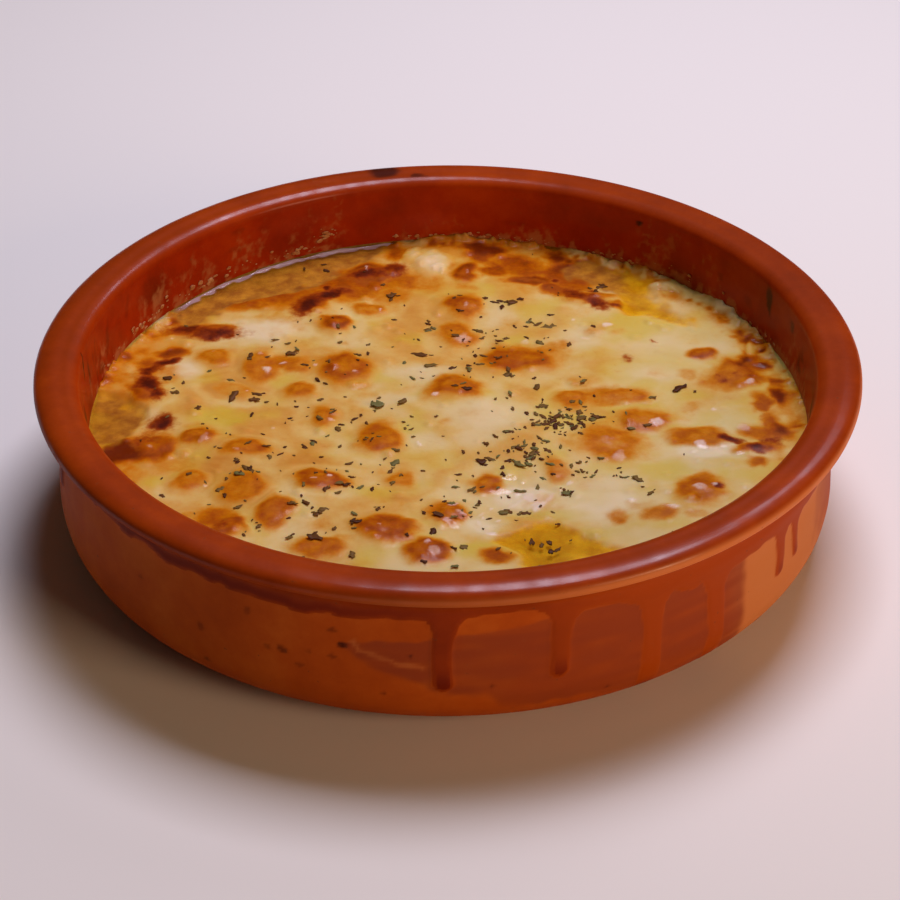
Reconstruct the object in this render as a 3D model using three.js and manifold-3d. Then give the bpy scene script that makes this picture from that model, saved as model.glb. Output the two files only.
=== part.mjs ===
// Baked provolone with oil and dried herbs, in a round glazed clay dish.
// Millimetres, +Z up, origin at the middle of the dish's base, the diner at -Y.
import * as THREE from "three";
import { mergeVertices } from "three/addons/utils/BufferGeometryUtils.js";
import Module from "manifold-3d";

const wasm = await Module();
wasm.setup();

// Driving dimensions of the dish, a 16 cm cazuela.
const RIM_RADIUS = 80;
const DISH_HEIGHT = 35;
const BASE_RADIUS = 60;
const BODY_RADIUS = 76.3;
const BODY_BULGE_HEIGHT = 11;
const BODY_SQUARENESS = 2.5;
const WAIST_RADIUS = 75.8;
const NECK_RADIUS = 75.6;
const NECK_HEIGHT = 27.4;
const UNDERCUT_RISE = 3.6;
const LIP_EDGE_HEIGHT = 33.2;
const LIP_TURN_WIDTH = 2.2;
const LIP_TURN_HEIGHT = 1.9;
const LIP_SHOULDER_HEIGHT = 33.4;
const RIM_CREST_RADIUS = 76.1;
const RIM_GROOVE_RADIUS = 74.6;
const RIM_GROOVE_DEPTH = 0.3;
const RIM_INNER_RADIUS = 73.2;
const MOUTH_RADIUS = 71.3;
const MOUTH_BEVEL_DROP = 1.4;
const WALL_RADIUS = 70.5;
const FLOOR_HEIGHT = 6.5;
const FLOOR_FILLET = 14;

// How finely the round forms are split, and how close points are joined.
const ROUND_SIDES = 64;
const CURVE_STEPS = 4;
const POOL_STEPS = 4;
const BLISTER_SIDES = 9;
const BLISTER_RINGS = 5;
const WELD_DISTANCE = 1e-4;
const MERGE_SIZE = 0.03;

// Driving dimensions of the food.
const GAP = 0.3;
const CHEESE_LEVEL = 20;
const CHEESE_WAVE = 0.45;
const CHEESE_CELL = 4.4;
const BLISTER_SINK = 1.2;
const BLISTER_SKIRT = 1.12;
const OIL_LEVEL = 19.6;
const OIL_DEPTH = 1.2;
const HERB_THICKNESS = 0.7;
const HERB_PROUD_SHARE = 0.1;
const HERB_SHORTEST = 1.5;
const HERB_LONGEST = 2.9;
const HERB_NARROWEST_SHARE = 0.45;
const HERB_WIDEST_SHARE = 0.75;
const HERB_TILT = 0.25;
const HERB_SCATTERED = 92;
const HERB_EDGE_RADIUS = 65;
const HERB_CLEARANCE = 0.5;
const HERB_SEED = 1609;

// The skin's waves: length and shift along x, the same along y, and share of the whole.
const WAVES = [
  [13, 0.6, 11, -0.4, 1],
  [8.5, 1.1, 8.5, 0, 0.6],
  [8.5, 2.67, 8.5, -1.57, 0.6],
  [4.9, 0.77, 5.3, -1.07, 0.45],
];

// Browned blisters, largest ones by place: x, y, width, depth and rise above the cheese.
const BLISTERS = [
  [-24, 33.6, 8, 8, 1.2],
  [-16.5, 41.2, 9, 6, 0.7],
  [-40, 42.3, 8, 5, 0.6],
  [-48.5, 21.2, 8, 7, 0.8],
  [-38.5, 17.5, 8, 11, 1],
  [-31, 18.7, 8, 6, 0.7],
  [-21.3, 16.8, 12, 12, 1.1],
  [-30, 8.5, 7, 7, 0.8],
  [-43, 9.3, 9, 6, 0.6],
  [-25, -1.6, 7, 8, 0.8],
  [-14.5, -9.8, 10, 13, 1.2],
  [-39, -14.7, 11, 6, 0.8],
  [-48.5, -9.6, 9, 9, 1],
  [-58, -12.3, 13, 10, 0.8],
  [-23.8, -24.2, 11, 6, 1],
  [-9, -23.2, 7, 6, 0.6],
  [-49, -25.3, 7, 7, 0.8],
  [-39, -26.8, 9, 10, 0.9],
  [-31.5, -35.8, 7, 9, 0.8],
  [-0.3, -34.3, 8, 8, 1.2],
  [-10.3, -40.7, 12, 9, 1.1],
  [-4, -46.6, 8, 8, 1.2],
  [-24, -46.6, 11, 7, 0.8],
  [-40, -38.8, 8, 7, 0.8],
  [4.2, 56.6, 5, 8, 0.8],
  [3.2, 41, 9, 11, 1.2],
  [1.5, 30.1, 9, 11, 1.2],
  [14, 20.1, 17, 11, 0.8],
  [1.3, 8.1, 11, 9, 1],
  [27.8, 10.9, 5, 5, 0.6],
  [25.6, 4.4, 7, 7, 0.8],
  [34.5, 5.5, 12, 6, 0.8],
  [39.8, -3.2, 11, 10, 1.2],
  [32, -10.9, 13, 15, 1.2],
  [48.5, -9.2, 12, 7, 0.8],
  [21, -20.9, 7, 8, 0.6],
  [7, -24.8, 7, 7, 0.7],
  [47.8, -28.3, 9, 10, 1],
  [58, 15.5, 11, 9, 0.9],
  [52, 21.3, 5, 5, 0.6],
  [31, 45.2, 13, 5, 0.7],
  [-17, 55.9, 11, 8, 0.7],
  [-50.8, 31, 13, 5, 0.8],
  [-28.5, 43.2, 6, 10, 0.7],
  [-60, 8.3, 6, 11, 0.7],
  [59, -12.8, 10, 5, 0.7],
  [-18, -58.9, 12, 7, 0.8],
  [38, -50.8, 10, 7, 0.8],
];

// Largest herb flakes by place: x, y, length, width and turn in degrees.
const LARGE_FLAKES = [
  [-6, 21.8, 4.4, 1.7, -15],
  [-3.5, 17, 3, 1.4, 10],
  [-14, 3.5, 3.2, 2.4, 30],
  [-9, 4, 2.6, 1.4, 70],
  [-43, 6.5, 4.6, 1.9, 65],
  [-32, 22.3, 3.2, 1.6, 20],
  [21, 33, 4, 2, 10],
  [13.7, 43.3, 2.6, 2, 0],
  [-10.2, -17.8, 3, 1.4, 60],
  [-38, -21, 4, 1.8, -50],
  [-24.5, -42.7, 3.6, 2, -20],
  [-23, -34, 2.8, 1.8, 10],
  [13.5, -18.5, 4.2, 1.5, -45],
  [22.3, -28, 3.2, 2.2, 20],
  [26.5, -22, 3.6, 1.4, 75],
  [36, -24.5, 3, 1.6, -40],
  [46.5, 9, 4.6, 1.3, 40],
  [18, 9, 2.6, 1.5, 80],
  [-12, 46.6, 2.6, 2, 20],
  [11.5, -33.5, 3, 1.5, -40],
  [-28, -12, 3, 1.2, -70],
  [6.4, -17.2, 2.4, 1.7, 0],
];

// Where the small flakes fell: x, y, spread and share of the scattered ones.
const HERB_FALLS = [
  [20, -4, 5.5, 0.26],
  [14, -15, 7, 0.2],
  [10, 22, 13, 0.18],
  [-25, -12, 19, 0.2],
  [0, 0, 38, 0.16],
];

// Oil pools, each outline a few points of a closed smooth curve. Points past the wall are trimmed by it.
const OIL_POOLS = {
  oil_pool_front: [[7.5, -42], [14, -37], [21, -37], [25, -41.5], [32, -44.5], [27, -51], [15, -53], [10, -48]],
  oil_pool_back_right: [
    [26, 58], [31, 60], [38, 55.5], [43, 50], [45.5, 43], [52, 34], [47, 32.5], [42, 36], [36.5, 35], [36, 44], [34, 51],
    [28, 54],
  ],
  oil_pool_back_left: [
    [-58, 47], [-54, 36], [-46, 43], [-36, 46], [-28, 53], [-20, 61], [-14, 65], [-16, 74], [-42, 66],
  ],
  oil_pool_left: [[-74, 6], [-65, 6], [-61.5, 1], [-61.5, -5], [-66, -11], [-74, -10]],
};

/** Repeatable draws between 0 and 1, so that the flakes fall the same way each time. */
function seededDraws(seed) {
  let state = seed;
  return () => {
    state = (state + 0x6d2b79f5) | 0;
    let mixed = Math.imul(state ^ (state >>> 15), 1 | state);
    mixed = (mixed + Math.imul(mixed ^ (mixed >>> 7), 61 | mixed)) ^ mixed;
    return ((mixed ^ (mixed >>> 14)) >>> 0) / 4294967296;
  };
}

/** A draw from a bell curve about 0 and 1 wide, as a sum of four even draws. */
function bellDraw(draw) {
  const sum = draw() + draw() + draw() + draw();
  return (sum - 2) * Math.sqrt(3);
}

/** An even draw between two limits. */
function drawBetween(draw, low, high) {
  return low + (high - low) * draw();
}

/** A closed three.js geometry as a solid that can be joined and cut. */
function toSolid(geometry) {
  const bare = geometry.clone();
  bare.deleteAttribute("normal");
  bare.deleteAttribute("uv");
  const merged = mergeVertices(bare, WELD_DISTANCE);
  const corners = merged.index.array;
  const kept = [];
  for (let i = 0; i < corners.length; i += 3) {
    const [a, b, c] = [corners[i], corners[i + 1], corners[i + 2]];
    if (a !== b && b !== c && a !== c) kept.push(a, b, c);
  }
  return new wasm.Manifold(
    new wasm.Mesh({
      numProp: 3,
      vertProperties: new Float32Array(merged.attributes.position.array),
      triVerts: new Uint32Array(kept),
    }),
  );
}

/** A joined or cut solid back as a three.js geometry. */
function toGeometry(solid) {
  const mesh = solid.getMesh();
  const geometry = new THREE.BufferGeometry();
  geometry.setAttribute("position", new THREE.BufferAttribute(mesh.vertProperties, 3));
  geometry.setIndex(new THREE.BufferAttribute(mesh.triVerts, 1));
  geometry.computeVertexNormals();
  return geometry;
}

/** A round body about +Z from its half section, given as points of radius and height. */
function turned(section) {
  return new THREE.LatheGeometry(section, ROUND_SIDES).rotateX(Math.PI / 2);
}

/** Points of an elliptical arc in the half section, from one angle to another in degrees. */
function arc(centreR, centreZ, radiusR, radiusZ, from, to, steps = CURVE_STEPS) {
  const points = [];
  for (let i = 0; i <= steps; i++) {
    const angle = THREE.MathUtils.degToRad(from + ((to - from) * i) / steps);
    points.push(new THREE.Vector2(centreR + radiusR * Math.cos(angle), centreZ + radiusZ * Math.sin(angle)));
  }
  return points;
}

/** The body's outside from the flat base up to its bulge, a squarish quarter oval. */
function bodyCurve() {
  const points = [];
  for (let i = 0; i <= CURVE_STEPS; i++) {
    const turn = (Math.PI / 2) * (i / CURVE_STEPS);
    const out = Math.sin(turn) ** (2 / BODY_SQUARENESS);
    const up = 1 - Math.cos(turn) ** (2 / BODY_SQUARENESS);
    points.push(new THREE.Vector2(BASE_RADIUS + (BODY_RADIUS - BASE_RADIUS) * out, BODY_BULGE_HEIGHT * up));
  }
  return points;
}

/** The inside of the dish from the mouth down to the axis, moved inwards by a gap. */
function insideCurve(gap) {
  const fillet = FLOOR_FILLET - gap;
  const centreR = WALL_RADIUS - FLOOR_FILLET;
  const centreZ = FLOOR_HEIGHT + FLOOR_FILLET;
  return [
    ...arc(centreR, centreZ, fillet, fillet, 0, -90),
    new THREE.Vector2(0, FLOOR_HEIGHT + gap),
  ];
}

/** The clay dish: flat base, low bulging side, neck and a rolled rim with a bevelled mouth. */
function dishGeometry() {
  const undercutWidth = (RIM_RADIUS - NECK_RADIUS) / 2;
  const undercut = arc(NECK_RADIUS + undercutWidth, NECK_HEIGHT, undercutWidth, UNDERCUT_RISE, 180, 90, 2);
  const lipMiddle = RIM_RADIUS - LIP_TURN_WIDTH;
  const lipTurn = arc(lipMiddle, LIP_EDGE_HEIGHT, LIP_TURN_WIDTH, LIP_TURN_HEIGHT, -80, 0, 3);
  const shoulderWidth = RIM_RADIUS - RIM_CREST_RADIUS;
  const shoulderHeight = DISH_HEIGHT - LIP_SHOULDER_HEIGHT;
  const section = [
    new THREE.Vector2(0, 0),
    ...bodyCurve(),
    new THREE.Vector2(WAIST_RADIUS, (BODY_BULGE_HEIGHT + NECK_HEIGHT) / 2),
    ...undercut,
    ...lipTurn,
    ...arc(RIM_CREST_RADIUS, LIP_SHOULDER_HEIGHT, shoulderWidth, shoulderHeight, 0, 90),
    new THREE.Vector2(RIM_GROOVE_RADIUS, DISH_HEIGHT - RIM_GROOVE_DEPTH),
    new THREE.Vector2(RIM_INNER_RADIUS, DISH_HEIGHT - RIM_GROOVE_DEPTH / 2),
    new THREE.Vector2(MOUTH_RADIUS, DISH_HEIGHT - MOUTH_BEVEL_DROP),
    ...insideCurve(0),
  ];
  return turned(section);
}

/** The space inside the dish that food can fill, kept clear of the clay. */
function fillableSpace() {
  const section = [
    new THREE.Vector2(0, DISH_HEIGHT),
    new THREE.Vector2(WALL_RADIUS - GAP, DISH_HEIGHT),
    ...insideCurve(GAP),
  ].reverse();
  return toSolid(turned(section));
}

/** Height of the cheese's skin at a place, gently uneven as it bubbled and set. */
function cheeseHeight(x, y) {
  let wave = 0;
  for (const [lengthX, shiftX, lengthY, shiftY, share] of WAVES) {
    wave += share * Math.sin(x / lengthX + shiftX) * Math.cos(y / lengthY + shiftY);
  }
  return CHEESE_LEVEL + CHEESE_WAVE * wave;
}

/** The melted cheese's body, filling the dish up to its uneven skin. */
function cheeseBody(space) {
  const span = Math.ceil((2 * WALL_RADIUS) / CHEESE_CELL) * CHEESE_CELL;
  const cells = span / CHEESE_CELL;
  const block = new THREE.BoxGeometry(span, span, CHEESE_LEVEL, cells, cells, 1);
  block.translate(0, 0, CHEESE_LEVEL / 2);
  const places = block.attributes.position;
  for (let i = 0; i < places.count; i++) {
    if (places.getZ(i) > CHEESE_LEVEL / 2) places.setZ(i, cheeseHeight(places.getX(i), places.getY(i)));
  }
  return toSolid(block).intersect(space);
}

/** One browned blister, a low dome that rises out of the skin. */
function blister([x, y, width, depth, rise]) {
  const dome = new THREE.SphereGeometry(1, BLISTER_SIDES, BLISTER_RINGS).rotateX(Math.PI / 2);
  dome.scale((width / 2) * BLISTER_SKIRT, (depth / 2) * BLISTER_SKIRT, rise + BLISTER_SINK);
  dome.translate(x, y, cheeseHeight(x, y) - BLISTER_SINK);
  return toSolid(dome);
}

/** Height of the food's top at a place, blisters included. */
function topHeight(x, y) {
  let height = cheeseHeight(x, y);
  for (const [bx, by, width, depth, rise] of BLISTERS) {
    const share = ((x - bx) / (width / 2)) ** 2 + ((y - by) / (depth / 2)) ** 2;
    if (share < 1) height = Math.max(height, cheeseHeight(bx, by) + rise * Math.sqrt(1 - share));
  }
  return height;
}

/** One dried herb flake, a thin four or five sided chip half bedded in the skin. */
function herbFlake(flake, draw) {
  const sides = draw() < 0.5 ? 4 : 5;
  const chip = new THREE.CylinderGeometry(1, 1, HERB_THICKNESS, sides, 1).rotateX(Math.PI / 2);
  chip.scale(flake.length / 2, flake.width / 2, 1);
  chip.rotateX(drawBetween(draw, -HERB_TILT, HERB_TILT));
  chip.rotateY(drawBetween(draw, -HERB_TILT, HERB_TILT));
  chip.rotateZ(THREE.MathUtils.degToRad(flake.turn));
  chip.translate(flake.x, flake.y, topHeight(flake.x, flake.y) + HERB_THICKNESS * HERB_PROUD_SHARE);
  return toSolid(chip);
}

/** The largest body of a joined solid, without the scraps that a cut leaves loose. */
function largestBody(solid) {
  const bodies = solid.decompose();
  return bodies.reduce((largest, body) => (body.volume() > largest.volume() ? body : largest));
}

/** A pool's edge as points of a closed smooth curve, moved outwards by a gap. */
function poolEdge(corners, gap) {
  const steps = corners.length * POOL_STEPS;
  const curve = new THREE.CatmullRomCurve3(corners.map(([x, y]) => new THREE.Vector3(x, y, 0)), true);
  const turn = THREE.ShapeUtils.isClockWise(corners.map(([x, y]) => new THREE.Vector2(x, y))) ? -1 : 1;
  const edge = [];
  for (let i = 0; i < steps; i++) {
    const point = curve.getPoint(i / steps);
    const along = curve.getTangent(i / steps);
    edge.push(new THREE.Vector2(point.x + along.y * gap * turn, point.y - along.x * gap * turn));
  }
  return edge;
}

/** A flat slab with a pool's edge, between two heights. */
function poolSlab(corners, gap, low, high) {
  const slab = new THREE.ExtrudeGeometry(new THREE.Shape(poolEdge(corners, gap)), {
    depth: high - low,
    bevelEnabled: false,
    steps: 1,
  });
  return toSolid(slab.translate(0, 0, low));
}

/** True where a place lies in an oil pool or closer to it than a margin. */
function nearOil(x, y, margin) {
  return Object.values(OIL_POOLS).some((corners) => {
    const edge = poolEdge(corners, margin);
    let inside = false;
    for (let i = 0, j = edge.length - 1; i < edge.length; j = i++) {
      const [a, b] = [edge[i], edge[j]];
      const crosses = a.y > y !== b.y > y;
      if (crosses && x < ((b.x - a.x) * (y - a.y)) / (b.y - a.y) + a.x) inside = !inside;
    }
    return inside;
  });
}

/** Every flake that lies clear of the oil, the wall and the flakes before it. */
function flakePlaces(draw) {
  const wanted = LARGE_FLAKES.map(([x, y, length, width, turn]) => ({ x, y, length, width, turn }));
  for (const [fallX, fallY, spread, share] of HERB_FALLS) {
    for (let i = 0; i < Math.round(HERB_SCATTERED * share); i++) {
      const length = drawBetween(draw, HERB_SHORTEST, HERB_LONGEST);
      wanted.push({
        x: fallX + bellDraw(draw) * spread,
        y: fallY + bellDraw(draw) * spread,
        length,
        width: length * drawBetween(draw, HERB_NARROWEST_SHARE, HERB_WIDEST_SHARE),
        turn: 180 * draw(),
      });
    }
  }
  const kept = [];
  for (const flake of wanted) {
    const reach = flake.length / 2 + HERB_CLEARANCE;
    const clearOfFlakes = kept.every(
      (other) => Math.hypot(other.x - flake.x, other.y - flake.y) > reach + other.length / 2,
    );
    const clearOfWall = Math.hypot(flake.x, flake.y) < HERB_EDGE_RADIUS;
    if (clearOfFlakes && clearOfWall && !nearOil(flake.x, flake.y, reach)) kept.push(flake);
  }
  return kept;
}

/** The cheese with its blisters and herb flakes, hollowed where the oil stands. */
function provoloneGeometry(space) {
  const draw = seededDraws(HERB_SEED);
  const blisters = BLISTERS.filter(([x, y]) => !nearOil(x, y, 0)).map(blister);
  let food = wasm.Manifold.union([cheeseBody(space), ...blisters]).intersect(space);
  for (const corners of Object.values(OIL_POOLS)) {
    food = food.subtract(poolSlab(corners, GAP, OIL_LEVEL - OIL_DEPTH - GAP, DISH_HEIGHT));
  }
  const flakes = flakePlaces(draw).map((flake) => herbFlake(flake, draw));
  return toGeometry(largestBody(wasm.Manifold.union([food, ...flakes])).simplify(MERGE_SIZE));
}

/** One pool of oil, standing in its hollow in the cheese up to its level. */
function poolGeometry(corners, space) {
  return toGeometry(poolSlab(corners, 0, OIL_LEVEL - OIL_DEPTH, OIL_LEVEL).intersect(space));
}

/** A named mesh with its own material. */
function piece(name, geometry, color, roughness) {
  const mesh = new THREE.Mesh(geometry, new THREE.MeshStandardMaterial({ color, roughness, metalness: 0 }));
  mesh.name = name;
  return mesh;
}

const space = fillableSpace();
const group = new THREE.Group();
group.add(piece("dish", dishGeometry(), 0x8a3309, 0.28));
group.add(piece("provolone", provoloneGeometry(space), 0xd8a868, 0.45));
for (const [name, corners] of Object.entries(OIL_POOLS)) {
  group.add(piece(name, poolGeometry(corners, space), 0xb98a1c, 0.08));
}

export default group;
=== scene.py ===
"""Baked provolone with oil and dried herbs, in a round glazed clay dish."""

import math
import random

import bpy
import numpy as np
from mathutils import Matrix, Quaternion, Vector


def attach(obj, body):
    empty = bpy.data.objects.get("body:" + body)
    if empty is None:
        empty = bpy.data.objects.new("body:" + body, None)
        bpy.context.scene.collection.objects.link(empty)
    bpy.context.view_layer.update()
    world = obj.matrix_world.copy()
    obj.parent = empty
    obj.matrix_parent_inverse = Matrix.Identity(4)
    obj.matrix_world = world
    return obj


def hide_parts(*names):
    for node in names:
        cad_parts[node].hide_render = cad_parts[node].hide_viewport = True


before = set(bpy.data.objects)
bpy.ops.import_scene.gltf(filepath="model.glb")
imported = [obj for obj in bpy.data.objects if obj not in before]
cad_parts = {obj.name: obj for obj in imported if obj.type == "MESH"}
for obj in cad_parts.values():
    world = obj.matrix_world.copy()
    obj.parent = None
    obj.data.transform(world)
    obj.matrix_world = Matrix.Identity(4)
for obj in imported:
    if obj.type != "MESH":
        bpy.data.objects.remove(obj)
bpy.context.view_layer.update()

# Sizes are in millimetres and become metres where a mesh is made.
MM = 0.001

# The dish, a 16 cm cazuela, on the same driving sizes as its solid.
RIM_RADIUS = 80.0
DISH_HEIGHT = 35.0
BASE_RADIUS = 60.0
BODY_RADIUS = 76.3
BODY_BULGE_HEIGHT = 11.0
BODY_SQUARENESS = 2.5
WAIST_RADIUS = 75.8
NECK_RADIUS = 75.6
NECK_HEIGHT = 27.4
UNDERCUT_RISE = 3.6
LIP_EDGE_HEIGHT = 33.2
LIP_TURN_WIDTH = 2.2
LIP_TURN_HEIGHT = 1.9
LIP_SHOULDER_HEIGHT = 33.4
RIM_CREST_RADIUS = 76.1
RIM_GROOVE_RADIUS = 74.6
RIM_GROOVE_DEPTH = 0.3
RIM_INNER_RADIUS = 73.2
MOUTH_RADIUS = 71.3
MOUTH_BEVEL_DROP = 1.4
WALL_RADIUS = 70.5
FLOOR_HEIGHT = 6.5
FLOOR_FILLET = 14.0
DISH_TURNS = 720
DISH_STEP = 0.6
GLAZE_RELIEF = 0.34
PLAIN_GLAZE = 0.62

# The food, on the same driving sizes as its solids.
CHEESE_LEVEL = 20.0
CHEESE_WAVE = 0.45
CHEESE_CELLS = 290
FOOD_OVERLAP = 0.15
BUBBLE_COUNT = 340
AMBER_COUNT = 170
DOME_SINK = 0.6
OIL_LEVEL = 19.6
OIL_DEPTH = 1.2
SHORE_OVERLAP = 1.6
FLAKE_ROWS = 6
FLAKE_COLUMNS = 3
FLAKE_THICKNESS = 0.1

# The skin's waves: length and shift along x, the same along y, and share of the whole.
WAVES = [
    (13, 0.6, 11, -0.4, 1),
    (8.5, 1.1, 8.5, 0, 0.6),
    (8.5, 2.67, 8.5, -1.57, 0.6),
    (4.9, 0.77, 5.3, -1.07, 0.45),
]

# Browned blisters: x, y, width, depth, rise above the cheese and how browned, from 0 to 1.
BLISTERS = [
    (-24, 33.6, 8, 8, 1.2, 0.88),
    (-16.5, 41.2, 9, 6, 0.7, 0.62),
    (-40, 42.3, 8, 5, 0.6, 0.62),
    (-48.5, 21.2, 8, 7, 0.8, 0.66),
    (-38.5, 17.5, 8, 11, 1, 0.66),
    (-31, 18.7, 8, 6, 0.7, 0.66),
    (-21.3, 16.8, 12, 12, 1.1, 0.77),
    (-30, 8.5, 7, 7, 0.8, 0.7),
    (-43, 9.3, 9, 6, 0.6, 0.5),
    (-25, -1.6, 7, 8, 0.8, 0.68),
    (-13.8, -9.0, 9.6, 12.4, 1.2, 0.74),
    (-39, -13.8, 11, 6, 0.8, 0.74),
    (-48.5, -9.0, 8.5, 9, 1, 0.75),
    (-58, -12.3, 13, 10, 0.8, 0.86),
    (-23.8, -24.2, 11, 6, 1, 0.8),
    (-8.9, -22.8, 7.4, 6.4, 0.6, 0.66),
    (-49, -24.2, 7, 7, 0.8, 0.66),
    (-39, -26.4, 9, 10.5, 0.9, 0.7),
    (-32, -34.4, 7, 9, 0.8, 0.74),
    (-0.3, -34.3, 8, 8, 1.2, 0.78),
    (-10.7, -40.2, 12, 10.5, 1.1, 0.83),
    (-4, -46.6, 8, 8, 1.2, 0.84),
    (-23.6, -45.6, 10, 7.5, 0.8, 0.74),
    (-40, -38.8, 8, 7, 0.8, 0.86),
    (4.2, 56.2, 5.6, 7.6, 0.8, 0.66),
    (3.2, 41, 9, 11, 1.2, 0.7),
    (1.5, 30.1, 9, 11, 1.2, 0.7),
    (14, 20.1, 17, 11, 0.8, 0.82),
    (1.3, 8.1, 11, 9, 1, 0.74),
    (27.8, 10.9, 5, 5, 0.6, 0.46),
    (25.6, 4.4, 7, 7, 0.8, 0.68),
    (34.5, 5.5, 12, 6, 0.8, 0.66),
    (39.8, -2.6, 11.5, 9, 1.2, 0.7),
    (32, -10.9, 13.5, 15, 1.2, 0.67),
    (48.5, -9.0, 12, 7.5, 0.8, 0.69),
    (20.8, -20.6, 6.5, 9, 0.6, 0.58),
    (7, -24.2, 7, 7, 0.7, 0.74),
    (47.8, -28.3, 10, 11, 1, 0.76),
    (58, 15.5, 11, 9, 0.9, 0.68),
    (52, 21.8, 6, 5.6, 0.6, 0.84),
    (31, 45.2, 13, 5, 0.7, 0.7),
    (-17, 55.9, 11, 8, 0.7, 0.85),
    (-50.8, 31.8, 13, 5, 0.8, 0.8),
    (-28.5, 43.2, 6, 10, 0.7, 0.8),
    (-60, 8.3, 6, 11, 0.7, 0.8),
    (59, -12.8, 10, 5, 0.7, 0.8),
    (-18, -58.9, 12, 7, 0.8, 0.7),
    (38, -50.8, 10, 7, 0.8, 0.5),
]

# Thin toasted films with no rise: x, y, width, depth, turn in degrees and how browned.
TOASTED_FILMS = [
    (7.4, 63.5, 8, 8, 0, 0.5),
    (10.3, 57, 8, 4, 0, 0.6),
    (18.5, 52.8, 12, 5, -5, 0.78),
    (24, 48.5, 9, 6, -25, 0.72),
    (37, 42, 8, 4, -20, 0.7),
    (21, 24, 12, 6, 30, 0.55),
    (-20, -42.5, 6, 4, 0, 0.45),
    (-47.3, -34, 6, 4, 0, 0.5),
    (-56, 24, 7, 6, 30, 0.7),
    (-57, 14, 7, 9, 0, 0.5),
    (-63, 4, 7, 10, 0, 0.45),
    (39, -35, 8, 5.6, 0, 0.66),
    (31.6, -36.2, 5.6, 5, 0, 0.62),
    (45.5, -36, 5, 3, 0, 0.45),
    (36, -32.5, 7, 3, 0, 0.35),
    (8.6, -48, 7, 5.5, 0, 0.8),
    (48.3, 14, 5, 4, 0, 0.45),
    (48.3, 2.4, 5, 5, 0, 0.4),
    (62, 3, 4, 9, 0, 0.7),
    (56.5, 12, 12, 8, 0, 0.66),
    (60, -8, 8, 5, -30, 0.7),
    (-22, 52, 12, 10, 20, 0.55),
    (-10, 52, 10, 8, 0, 0.5),
    (-35, 46, 14, 6, -15, 0.55),
    (-4, 51, 8, 6, 0, 0.35),
    (-43, 43.5, 12, 6, 5, 0.62),
    (-30, 46, 16, 8, 10, 0.6),
    (-58, -10, 10, 9, 0, 0.55),
    (-60, 12, 7, 15, 10, 0.45),
    (-42.2, -36, 12, 8, -30, 0.72),
    (-38, 47, 26, 10, -35, 0.6),
    (-22, 51, 22, 16, 10, 0.58),
    (-12, 46, 10, 10, 0, 0.45),
    (16, 58, 20, 9, -18, 0.5),
    (27, 54, 16, 12, -30, 0.62),
    (35, 54, 12, 7, -45, 0.6),
    (63.5, 27, 6, 14, 10, 0.38),
    (62, 18, 8, 8, 0, 0.45),
    (15, 20.5, 21, 12, 8, 0.56),
    (-34.5, 19, 13, 6, 0, 0.66),
    (31.5, 5.2, 19, 8, 3, 0.6),
    (33, -10, 15, 16, 0, 0.5),
    (-64, -14, 6, 16, 0, 0.42),
    (-52, -18, 12, 6, 0, 0.45),
    (-60, -20, 7, 5, -40, 0.4),
    (58.6, -18, 4.4, 4.6, 0, 0.7),
    (66, 8, 3, 10, 0, 0.4),
    (63, -6, 5, 12, -10, 0.62),
    (24, -11, 8, 8, 0, 0.35),
    (17, -6, 7, 5, 0, 0.3),
]

# Scorched streaks: x, y, width, depth, turn in degrees and strength.
SCORCHES = [
    (-17.5, 55.5, 11, 5.5, 8, 0.82),
    (-11.3, 57, 5, 6, 0, 0.8),
    (-29.8, 41.5, 6, 9.5, -12, 1.0),
    (-25.5, 46.6, 8, 4, 35, 0.95),
    (-26.6, 49.4, 2.6, 2, 0, 1.0),
    (-33, 50.5, 2, 1.4, 0, 0.6),
    (-51, 31.9, 15.5, 5, -9, 0.8),
    (-54, 32.8, 6, 4.4, 0, 0.85),
    (-47.5, 30.9, 7, 4.6, -10, 0.9),
    (-57.8, 20, 7, 3, 35, 0.95),
    (-60.4, 16, 3.6, 7, -10, 0.85),
    (-60, 10, 4.8, 7.4, 15, 1.0),
    (-58.5, 5.6, 3.4, 5, -20, 0.9),
    (-62.5, 9, 3, 3, 0, 0.6),
    (-56.2, -3.6, 5.5, 5.4, 0, 0.95),
    (-59, -9.5, 7, 6, 20, 0.5),
    (-43.5, 43.5, 5, 2.4, 10, 0.55),
    (-37, 44, 4, 2, -20, 0.5),
    (-22, 47.5, 5, 3, 30, 0.6),
    (-41.5, -38.4, 5, 4.5, 0, 0.55),
    (19, 52.6, 11, 2.6, -2, 0.42),
    (23.4, 53, 2.4, 1.8, 0, 0.9),
    (27, 46.5, 10, 4.4, -30, 0.74),
    (31.5, 42.8, 8, 4.2, -42, 0.76),
    (36, 41.8, 5, 2.6, -20, 0.75),
    (31, 48, 6, 2.4, -35, 0.5),
    (55, -10.4, 6.5, 2.4, -30, 0.86),
    (59.4, -13.6, 5, 3.2, -12, 0.9),
    (63, -11, 5, 3.6, 25, 0.6),
    (61.8, -4, 2.6, 9, -12, 0.3),
    (62.2, 3, 3.4, 6, 0, 0.42),
    (55, 12, 3, 1.8, 20, 0.55),
    (58.4, 14.6, 2.2, 1.4, 30, 0.5),
    (60.4, 17.6, 2.0, 1.4, 30, 0.4),
    (54.2, 13.6, 1.8, 1.6, 0, 0.5),
    (51.2, -26.6, 1.8, 3, -15, 0.8),
    (44, -30, 1.4, 4, 20, 0.45),
    (37, 20.2, 2.6, 2.6, 0, 0.5),
    (42, 26.6, 1.1, 3.6, 0, 0.5),
]

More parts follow.
